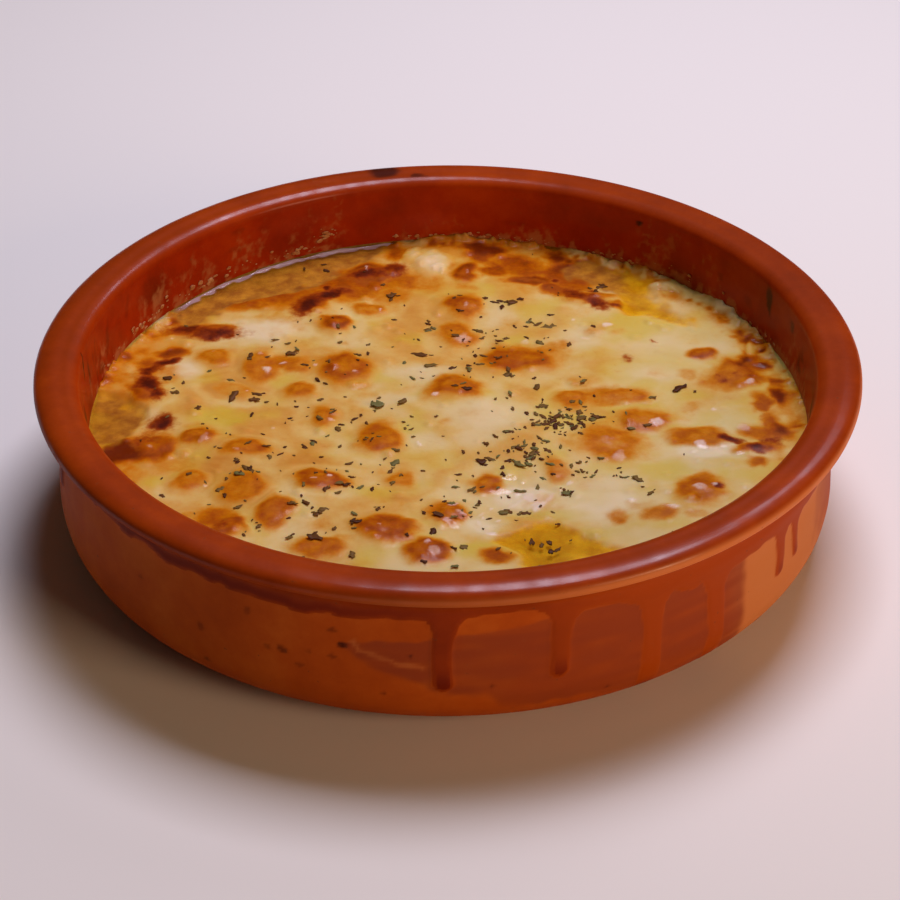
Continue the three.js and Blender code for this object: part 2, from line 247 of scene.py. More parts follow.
# Pale places where the cheese stayed white and wet: x, y, width, depth and strength.
WHITE_PLACES = [
    (-37.5, 31.5, 17, 10, 0.95),
    (-53.7, 16.6, 8, 9, 0.85),
    (-3.4, 60.0, 6.5, 9.5, 0.75),
    (-5, 15, 14, 7, 0.75),
    (8, -2, 16, 14, 0.8),
    (-12, 5, 14, 5, 0.6),
    (14, -29, 14, 9, 1.05),
    (6, -38, 9, 7, 0.95),
    (50, -14, 16, 7, 1.1),
    (48, 26, 22, 16, 0.72),
    (41, 14.5, 15, 8, 0.85),
    (28, 28, 12, 10, 0.72),
    (56, -4, 8, 9, 0.8),
    (28, -32, 22, 12, 0.95),
    (30, -26, 14, 8, 0.8),
    (42, -20, 14, 10, 0.5),
    (38, -42, 14, 6, 0.5),
    (-4, -11, 8, 7, 0.6),
    (6, -9, 10, 8, 0.7),
    (58, 36, 7, 14, 0.6),
    (-40, 5, 12, 6, 0.35),
    (11, 38, 7, 14, 0.5),
    (-10, -53, 14, 5, 0.6),
]

# Yellow films of oil lying on the cheese: x, y, width, depth and strength.
OIL_FILMS = [
    (41.4, -20.7, 11, 8, 0.85),
    (56, -22.5, 6, 5, 0.6),
    (45, 19, 16, 14, 0.5),
    (35, 15, 12, 12, 0.5),
    (39, 10, 8, 5, 0.7),
    (30, 22, 12, 7, 0.4),
    (31, 35, 10, 6, 0.5),
    (25, -30, 12, 6, 0.4),
    (40, -38, 12, 8, 0.5),
    (-45, -1.5, 12, 8, 0.9),
    (7, -46.5, 14, 6, 0.9),
    (-56, -24, 6, 5, 0.7),
    (43, 34, 12, 10, 0.75),
    (52, 30, 16, 12, 0.5),
    (38.5, 33, 11, 13, 0.9),
    (20, 59, 34, 12, 0.75),
    (4, 49, 26, 10, 0.45),
    (-14, 51, 20, 9, 0.6),
    (58, -3, 9, 12, 0.5),
    (-35, 5, 8, 6, 0.35),
    (20, -35, 14, 5, 0.6),
    (52, -2, 8, 5, 0.5),
    (-62, -20, 8, 8, 0.5),
    (-52, 38, 7, 5, 0.9),
    (-10, 10, 9, 5, 0.35),
    (55, -18, 12, 5, 0.4),
]

# Oil pools, each outline a few points of a closed smooth curve. Points past the wall are trimmed by it.
OIL_POOLS = {
    "oil_pool_front": [
        (7.5, -42), (14, -37), (21, -37), (25, -41.5), (32, -44.5), (27, -51), (15, -53), (10, -48),
    ],
    "oil_pool_back_right": [
        (26, 58), (31, 60), (38, 55.5), (43, 50), (45.5, 43), (50.5, 34.5), (46.5, 34), (42, 37.5), (38, 38),
        (36, 45), (34, 51), (28, 54),
    ],
    "oil_pool_back_left": [
        (-58, 47), (-54, 36), (-46, 43), (-36, 46), (-28, 53), (-20, 61), (-14, 65), (-16, 74), (-42, 66),
    ],
    "oil_pool_left": [(-74, 6), (-65, 6), (-61.5, 1), (-61.5, -5), (-66, -11), (-74, -10)],
}

# Where cheese stands up through the front pool: x, y, width, depth, turn in degrees and strength.
POOL_SHOALS = [
    (31, -39.5, 13, 8, -20, 1.0),
    (8.8, -48, 8, 7, 0, 1.0),
    (11, -37.5, 9, 5, 35, 0.9),
    (24, -38, 6, 4, 0, 0.6),
]

# Pale streaks at the front, painted highlights on the wrinkled skin: strength, half width and their points
# in x and y.
GLINT_STREAKS = [
    (1.0, 1.0, [(19.6, -28), (17.6, -30.6), (16.2, -33)]),
    (0.9, 0.8, [(17.4, -28.4), (16.2, -30.8), (14.8, -32.4)]),
    (0.7, 0.8, [(20.4, -31.6), (18.6, -33.4), (17.8, -35.4)]),
    (0.6, 0.7, [(14.4, -29), (12.4, -31.6), (10, -33)]),
    (0.6, 0.6, [(6.6, -33), (5.4, -36), (5.6, -38.4)]),
]

# Pale spots on the skin, painted glints where it catches the light: x, y, width, depth, turn in degrees and
# strength.
GLINT_SPOTS = [
    (-36.6, 15.9, 2.6, 1.5, 35, 0.9),
    (-34, 18.5, 1.2, 0.9, 0, 0.8),
    (-27.9, 18.5, 0.9, 0.9, 0, 0.8),
    (-23.1, 15.7, 1.1, 0.9, 0, 0.8),
    (-18.8, 15.3, 1.2, 0.9, 0, 0.7),
    (-38.7, 21.7, 1.0, 0.8, 0, 0.5),
    (-40.2, 8, 1.0, 0.9, 0, 0.9),
    (-47.4, -10.3, 1.5, 3.4, 0, 0.5),
    (-2.4, 5.6, 1.4, 0.9, 0, 0.9),
    (-5.3, -11, 1.3, 1.8, 0, 0.8),
    (-22.2, -24.6, 1.6, 1.2, 0, 0.8),
    (-26, -24.3, 1.1, 0.8, 0, 0.7),
    (-35, -5.4, 1.0, 1.0, 0, 0.6),
    (-23.1, -1.9, 1.2, 0.9, 0, 0.7),
    (-48.6, 22.6, 1.3, 0.8, 0, 0.5),
    (-13.6, 40.1, 0.9, 1.6, 0, 0.8),
    (-18, 58, 0.7, 2.6, 0, 0.8),
    (4.4, 55.8, 1.1, 2.4, 0, 0.5),
    (4.1, 40.8, 1.2, 2.2, 0, 0.6),
    (2.7, 28.5, 4.4, 3.2, 0, 0.62),
    (25.5, 36, 1.1, 1.4, 0, 0.7),
    (33.3, 33, 1.8, 2.2, 0, 0.9),
    (28.4, 27.6, 2.4, 2.0, 0, 0.5),
    (15.6, 27.2, 1.8, 2.2, 0, 0.55),
    (41.4, -4.0, 2.6, 1.9, 10, 0.75),
    (32.4, -16.2, 3.0, 4.4, 10, 0.6),
    (31, -11, 2.0, 3.0, 0, 0.4),
    (48.8, -12.5, 2.2, 2.0, 0, 0.9),
    (52.6, 1.1, 1.8, 1.6, 0, 0.8),
    (47.3, -27.2, 2.8, 3.6, 20, 0.72),
    (50.2, -25.6, 1.4, 1.2, 0, 0.9),
    (60.8, 10.4, 2.3, 2.0, 0, 0.75),
    (57.8, -6.6, 3.0, 3.2, 0, 0.6),
    (22.4, -24.3, 1.6, 1.8, 0, 0.7),
    (7.9, -32.1, 1.0, 1.2, 0, 0.8),
    (7.2, -34.6, 0.8, 0.9, 0, 0.8),
    (5.6, -36.8, 0.9, 0.9, 0, 0.7),
    (9.4, -36.2, 0.8, 1.0, 0, 0.7),
    (7.8, -40.6, 3.4, 1.2, 0, 0.9),
    (1.2, -32, 1.6, 1.4, 0, 0.8),
    (2, -34.4, 1.2, 1.0, 0, 0.7),
    (15.9, -29.3, 3.2, 3.6, 30, 0.8),
    (12.9, -27.6, 2.2, 3.6, 0, 0.6),
    (34.1, -31, 2.4, 1.2, 0, 0.8),
    (41.3, -32.7, 3.6, 1.1, -15, 0.85),
    (-1.9, -47.6, 2.0, 3.0, 0, 0.6),
    (-3.6, -44.8, 1.2, 1.0, 0, 0.7),
    (-46.5, -25, 1.2, 1.0, 0, 0.5),
    (-41, -14.4, 1.2, 1.0, 0, 0.5),
    (-12.6, -39.6, 1.4, 1.0, 0, 0.6),
    (-58, -11, 1.2, 1.6, 0, 0.5),
]

# The scratch on the body, as azimuth and height.
SCRATCH = [(-12.1, 20.8), (-11.3, 19.2), (-8.7, 18.4), (-6.6, 17.2), (-2.9, 16.5)]

# Largest herb flakes by place: x, y, length, width and turn in degrees.
LARGE_FLAKES = [
    (-6, 21.8, 4.4, 1.7, -15),
    (-3.5, 17, 3, 1.4, 10),
    (-14, 3.5, 3.2, 2.4, 30),
    (-9, 4, 2.6, 1.4, 70),
    (-43, 6.5, 4.6, 1.9, 65),
    (-32, 22.3, 3.2, 1.6, 20),
    (21, 33, 4, 2, 10),
    (13.7, 43.3, 2.6, 2, 0),
    (-10.2, -17.8, 3, 1.4, 60),
    (-38, -21, 4, 1.8, -50),
    (-24.5, -42.7, 3.6, 2, -20),
    (-23, -34, 2.8, 1.8, 10),
    (13.5, -18.5, 4.2, 1.5, -45),
    (22.3, -28, 2.6, 1.6, 20),
    (36, -24.5, 3, 1.6, -40),
    (46.5, 9, 4.6, 1.3, 40),
    (18, 9, 2.6, 1.5, 80),
    (-12, 46.6, 2.6, 2, 20),
    (11.2, -33.2, 2.2, 1.3, -40),
    (15.2, -43.8, 1.4, 2.2, 0),
    (18.4, -43.6, 1.2, 1.6, 20),
    (18.6, -46.4, 1.3, 1.5, 0),
    (2.8, -45.4, 1.8, 1.6, 30),
    (-28, -12, 3, 1.2, -70),
    (6.4, -17.2, 2.4, 1.7, 0),
]

# How low the glaze comes under the rim: azimuth and height.
GLAZE_EDGE = [
    (-180, 26.2),
    (-40, 26.2),
    (-25, 25.6),
    (-9, 26.5),
    (0, 26.7),
    (7, 27.5),
    (12, 27.2),
    (20, 25.9),
    (27, 24.2),
    (36, 23.4),
    (62, 23.4),
    (80, 25.4),
    (180, 26.2),
]

# Round the dish, as azimuth and strength: the bead at the glaze's edge, also painted shade under the lip at
# the left and back, the gloss, the painted sheen on the rim's face, the painted shade at the foot and on the
# rim at the back right.
BEAD_AND_PAINTED_SHADE = [(-180, 0.3), (-20, 0.3), (4, 0.12), (70, 0.04), (110, 0.25), (180, 0.3)]
RIM_GLOSS = [
    (-180, 0.22), (-165, 0.36), (-130, 0.42), (0, 0.3), (25, 0.36), (50, 0.42), (72, 0.2), (90, 0.08),
    (150, 0.08), (180, 0.22),
]
FACE_SHEEN = [(-70, 0), (-22, 0.05), (-6, 0.26), (12, 0.42), (24, 0.56), (100, 0.56), (150, 0)]
FOOT_SHADE = [(-150, 0), (-110, 0.22), (-60, 0.22), (-25, 0)]
RIM_SHADE = [(50, 0), (85, 0.3), (140, 0.26), (178, 0)]

# The upper and lower edges of the dark wash between the runs, as azimuth and height.
WASH_TOP = [(-14, 20.2), (-8, 21.6), (0, 22.9), (14, 25.2), (20, 27), (46, 24)]
WASH_BOTTOM = [(-14, 18.4), (-6, 13.5), (4, 9.5), (12, 6), (43, 3.5)]

# Where the small flakes fell: x, y, spread and how many.
HERB_FALLS = [
    (21, -3.6, 2.8, 46),
    (25, -2.6, 2.4, 18),
    (16, -14, 5.6, 58),
    (11, 22, 9, 64),
    (-26, -14, 16, 96),
    (-2, 2, 28, 104),
    (-30, 20, 16, 34),
    (10, -30, 4, 20),
    (2, -37, 6, 14),
    (-18, -30, 10, 30),
    (-36, -34, 9, 16),
    (18, -47, 5, 8),
    (13.6, 43.4, 1.3, 6),
    (9.8, 43.2, 1.6, 5),
    (-11.7, 45.7, 0.7, 3),
    (31, 50, 1.8, 4),
    (28.6, -2.4, 3, 20),
    (13.4, -15, 2, 12),
    (26, -21.6, 1.3, 10),
    (32.6, -23, 1.2, 6),
    (36.2, -26, 1.5, 3),
    (22.2, -27.4, 0.8, 6),
]

# Glaze runs below the rim: azimuth in degrees from the front, half width, lowest height.
GLAZE_RUNS = [
    (-0.4, 1.7, 11.6),
    (15.2, 1.65, 12.6),
    (28.3, 1.9, 3.0),
    (39.2, 1.9, 3.0),
    (53.3, 1.3, 13.6),
    (58.0, 0.95, 14.4),
    (-74, 1.4, 17.5),
    (96, 2.0, 13.0),
    (133, 1.5, 16.0),
    (-128, 2.1, 12.0),
    (-163, 1.3, 17.0),
]

# Wet, wrinkled places that catch the light: x, y, width, depth and strength.
WET_PLACES = [
    (14, -27, 17, 10, 1.0),
    (1, -37, 8, 6, 0.7),
    (52, -14, 14, 8, 0.6),
    (3, 9, 8, 6, 0.6),
    (-48, -9, 9, 8, 0.6),
    (30, 30, 8, 6, 0.5),
]

# Lumps of pale foam: x, y, width, depth and rise.
FOAM_LUMPS = [
    (-3.4, 60.2, 8.4, 12, 0.65),
    (-7.5, 63.5, 6, 7, 0.7),
    (-1.5, 57.8, 4, 4, 1.0),
    (-61, 36, 6, 4.5, 0.7),
    (35, 59, 8, 3.5, 0.7),
    (46.5, 50, 5, 3.5, 0.6),
    (63, 24, 3, 5, 0.5),
]

# Where crumbs dried on the inner wall: azimuth, height, spread round, spread up and how many.
CRUMB_FALLS = [
    (-158.5, 24.6, 1.8, 0.6, 18),
    (-152, 21.6, 1.6, 0.4, 12),
    (-148, 22.4, 6, 0.6, 12),
    (-136, 22.6, 6, 0.8, 14),
    (-133, 21.9, 1.2, 0.5, 14),
    (-124, 22.4, 5, 0.8, 14),
    (-118, 21.8, 1.6, 0.5, 14),
    (-106, 22.0, 7, 0.7, 14),
    (136, 23.4, 5, 0.5, 6),
    (104, 22.6, 6, 0.5, 6),
    (176, 21.4, 8, 0.4, 40),
    (150, 21.2, 11, 0.4, 40),
    (120, 21.2, 10, 0.4, 16),
]

# Stretches of dried foam along the wall: azimuth, half width in degrees and strength.
FOAM_STRETCHES = [
    (151, 8, 1.0),
    (138, 8, 0.85),
    (124, 8, 1.0),
    (110, 7, 0.7),
    (-122, 4, 0.7),
    (-112, 3, 0.4),
    (176, 12, 0.55),
    (86, 4, 0.35),
    (-70, 9, 0.3),
    (60, 10, 0.3),
]

# Dark smears inside: azimuth, height, width, height and slant of the mark, strength.
INNER_SMEARS = [
    (144.7, 30.8, 1.6, 1.3, 0, 1.0),
    (-90, 31, 1.0, 7, 8, 0.9),
    (-93, 27, 1.6, 6, 10, 0.6),
    (-84, 24.5, 3, 5, 0, 0.55),
    (-100, 23, 4, 3, 0, 0.5),
    (-104, 27, 2.2, 8, 25, 0.35),
    (-112, 28.4, 1.8, 6, 28, 0.3),
    (-98, 28, 1.8, 7, 20, 0.35),
    (-141, 30.8, 3.4, 1.8, 0, 0.35),
    (-146, 29.6, 3, 1.6, 20, 0.25),
    (112, 29.4, 2.4, 6.5, -15, 0.8),
    (126, 27, 2.2, 2.2, 0, 0.4),
    (98, 26, 2.4, 4, 0, 0.4),
    (103, 29.5, 2.0, 3.2, -35, 0.6),
    (84, 25, 2.6, 6, -10, 0.65),
    (70, 24, 3.4, 5, 0, 0.5),
    (118, 25.5, 4, 2.4, 20, 0.35),
    (168, 25, 7, 1.4, 0, 0.25),
    (-140, 27, 6, 1.6, 0, 0.3),
]

# Dark specks and spots on the outside, the same way.
BODY_SPECKS = [
    (-13.4, 19.9, 1.8, 1.7, 0, 0.85),
    (-22, 16.5, 2.2, 1.7, -20, 0.61),
    (-24.1, 16.3, 1.5, 1.4, 0, 0.44),
    (-14.9, 22.4, 1.9, 1.2, 0, 0.5),
    (-14.9, 17.1, 1.9, 1, 0, 0.5),
    (-19.5, 14.2, 1.6, 1.2, 0, 0.44),
    (-18.1, 17.2, 1, 1.2, 0, 0.39),
    (-27, 22.4, 1.4, 1.9, 0, 0.44),
    (-34.8, 15.6, 1.6, 2.2, 0, 0.44),
    (-4.5, 18.6, 1.2, 1.2, 0, 0.66),
    (6.2, 12.4, 1.1, 1.3, 0, 0.55),
    (-34, 8.4, 1.5, 1.3, 0, 0.55),
    (-8, 10.6, 1, 1.2, 0, 0.55),
    (-46, 19, 1.5, 1.4, 0, 0.44),
    (22, 7.6, 1.1, 1.2, 0, 0.55),
    (150, 14, 1.8, 1.7, 0, 0.55),
    (-160, 9, 1.4, 1.4, 0, 0.55),
]

# Stains on the rim's top: azimuth, radius, width, depth, slant and strength.
RIM_STAINS = [
    (-169.4, 76.8, 6.6, 6.4, 0, 0.85),
    (-174.8, 73.8, 2.8, 2.2, 0, 0.7),
    (-176.4, 73.2, 1.6, 1.2, 0, 0.5),
]


def hex_colour(code):
    """An sRGB hex colour as linear red, green, blue and alpha."""
    channels = [int(code[i:i + 2], 16) / 255 for i in (1, 3, 5)]
    linear = [c / 12.92 if c <= 0.04045 else ((c + 0.055) / 1.055) ** 2.4 for c in channels]
    return (*linear, 1.0)


def smooth_step(low, high, value):
    """0 below low, 1 above high and a soft S between them."""
    share = np.clip((value - low) / (high - low), 0, 1)
    return share * share * (3 - 2 * share)


def noise_field(x, y, size, seed):
    """Soft random values from -1 to 1, in spots about size millimetres across."""
    count = 97
    table = np.random.default_rng(seed).uniform(-1, 1, (count, count))
    grid_x = np.asarray(x, float) / size
    grid_y = np.asarray(y, float) / size
    low_x = np.floor(grid_x).astype(int)
    low_y = np.floor(grid_y).astype(int)
    share_x = smooth_step(0, 1, grid_x - low_x)
    share_y = smooth_step(0, 1, grid_y - low_y)
    near_low = table[low_x % count, low_y % count] * (1 - share_x)
    near_high = table[(low_x + 1) % count, low_y % count] * share_x
    far_low = table[low_x % count, (low_y + 1) % count] * (1 - share_x)
    far_high = table[(low_x + 1) % count, (low_y + 1) % count] * share_x
    return (near_low + near_high) * (1 - share_y) + (far_low + far_high) * share_y


def layered(x, y, *layers):
    """Noise of several spot sizes added up: each layer is its strength, size and seed."""
    return sum(strength * noise_field(x, y, size, seed) for strength, size, seed in layers)


def warped(x, y, size, strength, seed):
    """Places pushed about by soft noise, so that ovals come out uneven."""
    return (
        x + strength * noise_field(x, y, size, seed),
        y + strength * noise_field(x, y, size, seed + 1),
    )


def oval_share(x, y, place_x, place_y, width, depth, turn=0.0):
    """Squared distance from a turned oval's middle, 1 at its edge."""
    angle = math.radians(turn)
    along = (x - place_x) * math.cos(angle) + (y - place_y) * math.sin(angle)
    across = (y - place_y) * math.cos(angle) - (x - place_x) * math.sin(angle)
    return (along / (width / 2)) ** 2 + (across / (depth / 2)) ** 2


def unturned(places):
    """Ovals listed without a turn, in the form of those that have one."""
    return [(*oval, 0, strength) for *oval, strength in places]


def strongest(x, y, places, warp_seed, softness):
    """The strongest mark of a list of ovals at each place, with uneven edges."""
    bent_x, bent_y = warped(x, y, 3.6, 0.9, warp_seed)
    bent_x, bent_y = warped(bent_x, bent_y, 1.4, 0.45, warp_seed + 7)
    mark = np.zeros(np.shape(x))
    for place_x, place_y, width, depth, turn, strength in places:
        share = np.sqrt(oval_share(bent_x, bent_y, place_x, place_y, width, depth, turn))
        mark = np.maximum(mark, strength * smooth_step(1 + softness, 1 - softness, share))
    return mark


def away_from_line(x, y, places):
    """Distance to a line of straight runs through places."""
    nearest = np.full(np.shape(x), np.inf)
    for (start_x, start_y), (end_x, end_y) in zip(places, places[1:]):
        run_x, run_y = end_x - start_x, end_y - start_y
        share = ((x - start_x) * run_x + (y - start_y) * run_y) / (run_x**2 + run_y**2)
        share = np.clip(share, 0, 1)
        away = np.hypot(x - start_x - share * run_x, y - start_y - share * run_y)
        nearest = np.minimum(nearest, away)
    return nearest


def inside_edge(x, y, edge):
    """Distance in from a closed edge, negative outside it."""
    closed = np.concatenate([edge, edge[:1]])
    inside = np.zeros(np.shape(x), bool)
    for (start_x, start_y), (end_x, end_y) in zip(closed, closed[1:]):
        if start_y != end_y:
            crosses = (start_y > y) != (end_y > y)
            inside ^= crosses & (x < (end_x - start_x) * (y - start_y) / (end_y - start_y) + start_x)
    away = away_from_line(x, y, closed)
    return np.where(inside, away, -away)


def around(azimuth, centre):
    """Degrees from a place on the dish's circle, from -180 to 180."""
    return (azimuth - centre + 180) % 360 - 180


def along_table(azimuth, table):
    """A value round the dish, from a table of azimuths and values."""
    return np.interp(azimuth, *zip(*table))


def lap_noise(azimuth, height, radius, *layers):
    """Layered noise round the dish's wall, without a seam at the back."""
    lap = 2 * math.pi * radius
    along = np.radians(azimuth) * radius
    wrapped = along - np.sign(along) * lap
    share = 0.5 * smooth_step(0.46 * lap, 0.5 * lap, np.abs(along))
    return (1 - share) * layered(along, height, *layers) + share * layered(wrapped, height, *layers)


def marks_share(places, azimuth, height):
    """The strongest of a list of oval marks on the dish's wall, sizes in millimetres."""
    mark = np.zeros(np.shape(azimuth))
    for place, level, width, tall, slant, strength in places:
        along = np.radians(around(azimuth, place)) * WALL_RADIUS
        along = along + 0.5 * noise_field(along, height, 1.9, 45)
        rise = height + 0.3 * noise_field(along, height, 1.4, 46)
        share = np.sqrt(oval_share(along, rise, 0, level, width, tall, slant))
        mark = np.maximum(mark, strength * smooth_step(1.35, 0.6, share))
    return mark


def new_mesh(name, points, faces, fields=None):
    """A smooth-shaded mesh object from points in millimetres, with named values at its points."""
    mesh = bpy.data.meshes.new(name)
    mesh.from_pydata((np.asarray(points) * MM).tolist(), [], faces)
    for field, values in (fields or {}).items():
        attribute = mesh.attributes.new(field, "FLOAT", "POINT")
        attribute.data.foreach_set("value", np.asarray(values, np.float32))
    mesh.polygons.foreach_set("use_smooth", [True] * len(mesh.polygons))
    mesh.update()
    piece = bpy.data.objects.new(name, mesh)
    bpy.context.scene.collection.objects.link(piece)
    return piece


def disc_grid(cells, radius):
    """Even quads over a disc: a square grid with its sides bowed out to the circle."""
    ticks = np.linspace(-1, 1, cells + 1)
    across, along = np.meshgrid(ticks, ticks)
    x = radius * across * np.sqrt(1 - along**2 / 2)
    y = radius * along * np.sqrt(1 - across**2 / 2)
    return x, y


def grid_faces(rows, columns):
    """Quads of a grid of points stored row by row."""
    first = np.arange(rows - 1)[:, None] * columns + np.arange(columns - 1)[None, :]
    return np.stack([first, first + 1, first + columns + 1, first + columns], -1).reshape(-1, 4)


def grid_rim(rows, columns):
    """The points once round the edge of a grid stored row by row."""
    order = np.arange(rows * columns).reshape(rows, columns)
    return np.concatenate([order[0, :-1], order[:-1, -1], order[-1, :0:-1], order[:0:-1, 0]])


def band_faces(upper, lower):
    """Quads between two closed loops of points."""
    return np.stack([upper, lower, np.roll(lower, -1), np.roll(upper, -1)], 1).tolist()


def turned_faces(rings, sides, start=0):
    """Quads between closed rings of points stored one after another, and a face over each end."""
    first = np.arange(start, start + sides)
    faces = []
    for ring in range(rings - 1):
        low = first + ring * sides
        after = np.roll(low, -1)
        faces += np.stack([low, after, after + sides, low + sides], 1).tolist()
    last = first + (rings - 1) * sides
    return faces + [first[::-1].tolist(), last.tolist()]


def arc(centre_r, centre_z, radius_r, radius_z, start, end, steps):
    """Points of an elliptical arc in the half section, from one angle to another in degrees."""
    angles = np.radians(np.linspace(start, end, steps + 1))
    return np.stack([centre_r + radius_r * np.cos(angles), centre_z + radius_z * np.sin(angles)], 1)


def body_curve(steps):
    """The dish's outside from its flat base up to the bulge, a squarish quarter oval."""
    turn = np.linspace(0, math.pi / 2, steps + 1)
    power = 2 / BODY_SQUARENESS
    radius = BASE_RADIUS + (BODY_RADIUS - BASE_RADIUS) * np.sin(turn) ** power
    height = BODY_BULGE_HEIGHT * (1 - np.clip(np.cos(turn), 0, 1) ** power)
    return np.stack([radius, height], 1)


def inside_curve(steps):
    """The inside of the dish from the wall's foot down to the floor's edge."""
    centre_r = WALL_RADIUS - FLOOR_FILLET
    centre_z = FLOOR_HEIGHT + FLOOR_FILLET
    return arc(centre_r, centre_z, FLOOR_FILLET, FLOOR_FILLET, 0, -90, steps)


def dish_section():
    """The dish's half section from the base's middle round the rim to the floor's middle."""
    undercut_width = (RIM_RADIUS - NECK_RADIUS) / 2
    lip_middle = RIM_RADIUS - LIP_TURN_WIDTH
    crest = RIM_CREST_RADIUS
    line = np.concatenate([
        [[0, 0]],
        body_curve(24),
        [[WAIST_RADIUS, (BODY_BULGE_HEIGHT + NECK_HEIGHT) / 2]],
        arc(NECK_RADIUS + undercut_width, NECK_HEIGHT, undercut_width, UNDERCUT_RISE, 180, 90, 10),
        arc(lip_middle, LIP_EDGE_HEIGHT, LIP_TURN_WIDTH, LIP_TURN_HEIGHT, -80, 0, 10),
        arc(crest, LIP_SHOULDER_HEIGHT, RIM_RADIUS - crest, DISH_HEIGHT - LIP_SHOULDER_HEIGHT, 0, 90, 14),
        [[RIM_GROOVE_RADIUS, DISH_HEIGHT - RIM_GROOVE_DEPTH]],
        [[RIM_INNER_RADIUS, DISH_HEIGHT - RIM_GROOVE_DEPTH / 2]],
        [[MOUTH_RADIUS, DISH_HEIGHT - MOUTH_BEVEL_DROP]],
        inside_curve(16),
        [[0, FLOOR_HEIGHT]],
    ])
    walked = np.concatenate([[0], np.cumsum(np.hypot(*np.diff(line, axis=0).T))])
    hidden = walked[-1] - (WALL_RADIUS - FLOOR_FILLET) - FLOOR_FILLET * math.pi / 2
    under_base = [1, 20, 40]
    seen = np.arange(BASE_RADIUS - 2, hidden + 3, DISH_STEP)
    under_food = np.linspace(hidden + 5, walked[-1] - 1, 16)
    stops = np.concatenate([under_base, seen, under_food])
    section = np.stack([np.interp(stops, walked, values) for values in line.T], 1)
    for _ in range(2):
        section[1:-1] = (section[:-2] + 2 * section[1:-1] + section[2:]) / 4
    return section


def glaze_edge(azimuth):
    """How low the glaze comes under the rim, in soft scallops on an uneven line."""
    scallops = lap_noise(azimuth, 0 * azimuth, BODY_RADIUS, (0.4, 6, 31), (0.45, 2.1, 32))
    return along_table(azimuth, GLAZE_EDGE) + scallops


def glaze_thickness(azimuth, height):
    """How thick the glaze lies outside, from 0 on bare clay to 1 where a run ends."""
    edge = glaze_edge(azimuth)
    glaze = PLAIN_GLAZE * smooth_step(-0.35, 0.35, height - edge)
    # The bead is thicker, and so darker, at the left and back: a real glaze bead, and painted shade under
    # the lip away from the light.
    glaze = glaze + along_table(azimuth, BEAD_AND_PAINTED_SHADE) * np.exp(-(((height - edge - 1.1) / 1.4) ** 2))
    for run_azimuth, half_width, lowest in GLAZE_RUNS:
        sway = 0.35 * noise_field(height, 0 * height, 6, int(run_azimuth * 10) % 997)
        side = np.abs(np.radians(around(azimuth, run_azimuth)) * BODY_RADIUS + sway)
        flare = 2.0 * np.exp(-np.clip(edge - height, 0, 40) / 1.5)
        round_end = np.hypot(side, np.clip(lowest + half_width - height, 0, None))
        run = smooth_step(-0.35, 0.45, half_width + flare - round_end) * (height < edge + 1)
        thick = np.interp(run_azimuth, [0, 30], [0.76, 0.6]) + 0.24 * smooth_step(6, 0, height - lowest)
        glaze = np.maximum(glaze, run * thick)
    return glaze


def wash_share(azimuth, height):
    """Where a thin dark wash of glaze covers the clay: between the runs in front, and at the right."""
    along = azimuth * 1.33
    ragged = layered(along, height, (1.2, 6, 41), (0.7, 2.4, 42))
    below_top = along_table(azimuth, WASH_TOP) + 0.5 * ragged - height
    above_bottom = height - along_table(azimuth, WASH_BOTTOM) - ragged
    left = smooth_step(-14.5, -12.5, azimuth + 0.6 * ragged)
    right = smooth_step(46.5, 44, azimuth + ragged)
    streaks = 0.78 + 0.22 * noise_field(azimuth * 0.2 + 40, height, 1.3, 43)
    front = left * right * smooth_step(-0.4, 0.6, below_top) * smooth_step(-0.8, 1.6, above_bottom)
    side = smooth_step(62, 70, azimuth + 2.6 * ragged) * smooth_step(92, 80, azimuth)
    return np.maximum(front * streaks, 0.45 * side * smooth_step(3, 14, height + 2 * ragged))


def baked_on(azimuth, height):
    """Old fat baked onto the inner wall in soft upright streaks, mostly left and right, and in blotches."""
    streak = 0.5 + lap_noise(azimuth, 0.35 * height, WALL_RADIUS, (0.5, 2.2, 47))
    streak = streak + lap_noise(azimuth, 0.6 * height, WALL_RADIUS, (0.3, 0.9, 48))
    right = smooth_step(50, 20, np.abs(around(azimuth, 78)))
    left = smooth_step(34, 12, np.abs(around(azimuth, -84)))
    streaks = np.maximum(left, right) * smooth_step(0.5, 1.2, streak) * smooth_step(33, 26, height)
    blotches = smooth_step(0.1, 0.9, lap_noise(azimuth, height, WALL_RADIUS, (1, 7, 44)))
    return np.maximum(0.65 * streaks, 0.4 * blotches * smooth_step(33.4, 30, height))


def dried_film(azimuth, height):
    """A thin tan film of dried cheese on the inner wall, ragged above the food and smudged higher up."""
    smudge = 0.5 + lap_noise(azimuth, 0.7 * height, WALL_RADIUS, (0.5, 3.6, 33))
    smudge = smudge * smooth_step(0.25, 0.75, smudge)
    film = np.zeros(np.shape(azimuth))
    for place, level, spread, lift, _ in CRUMB_FALLS:
        away = np.abs(around(azimuth, place)) / (1.9 * spread)
        rise = (height - CHEESE_LEVEL) / (level - CHEESE_LEVEL + 0.8 * lift)
        share = np.maximum(smooth_step(1.3, 0.6, rise), smudge * smooth_step(4.2, 1.5, rise))
        film = np.maximum(film, smooth_step(1.3, 0.7, away) * share)
    ragged = 0.4 + lap_noise(azimuth, 0.4 * height, WALL_RADIUS, (0.5, 1.7, 34))
    ragged = ragged + lap_noise(azimuth, height, WALL_RADIUS, (0.6, 0.9, 35))
    fringe_top = CHEESE_LEVEL + 1.6
    fringe_top = fringe_top + lap_noise(azimuth, 0 * height, WALL_RADIUS, (1.6, 1.5, 37), (1.1, 0.8, 38))
    fringe = smooth_step(0.8, -0.6, height - fringe_top) * smooth_step(62, 80, azimuth)
    return np.maximum(film * np.clip(ragged, 0, 1), 0.9 * fringe)


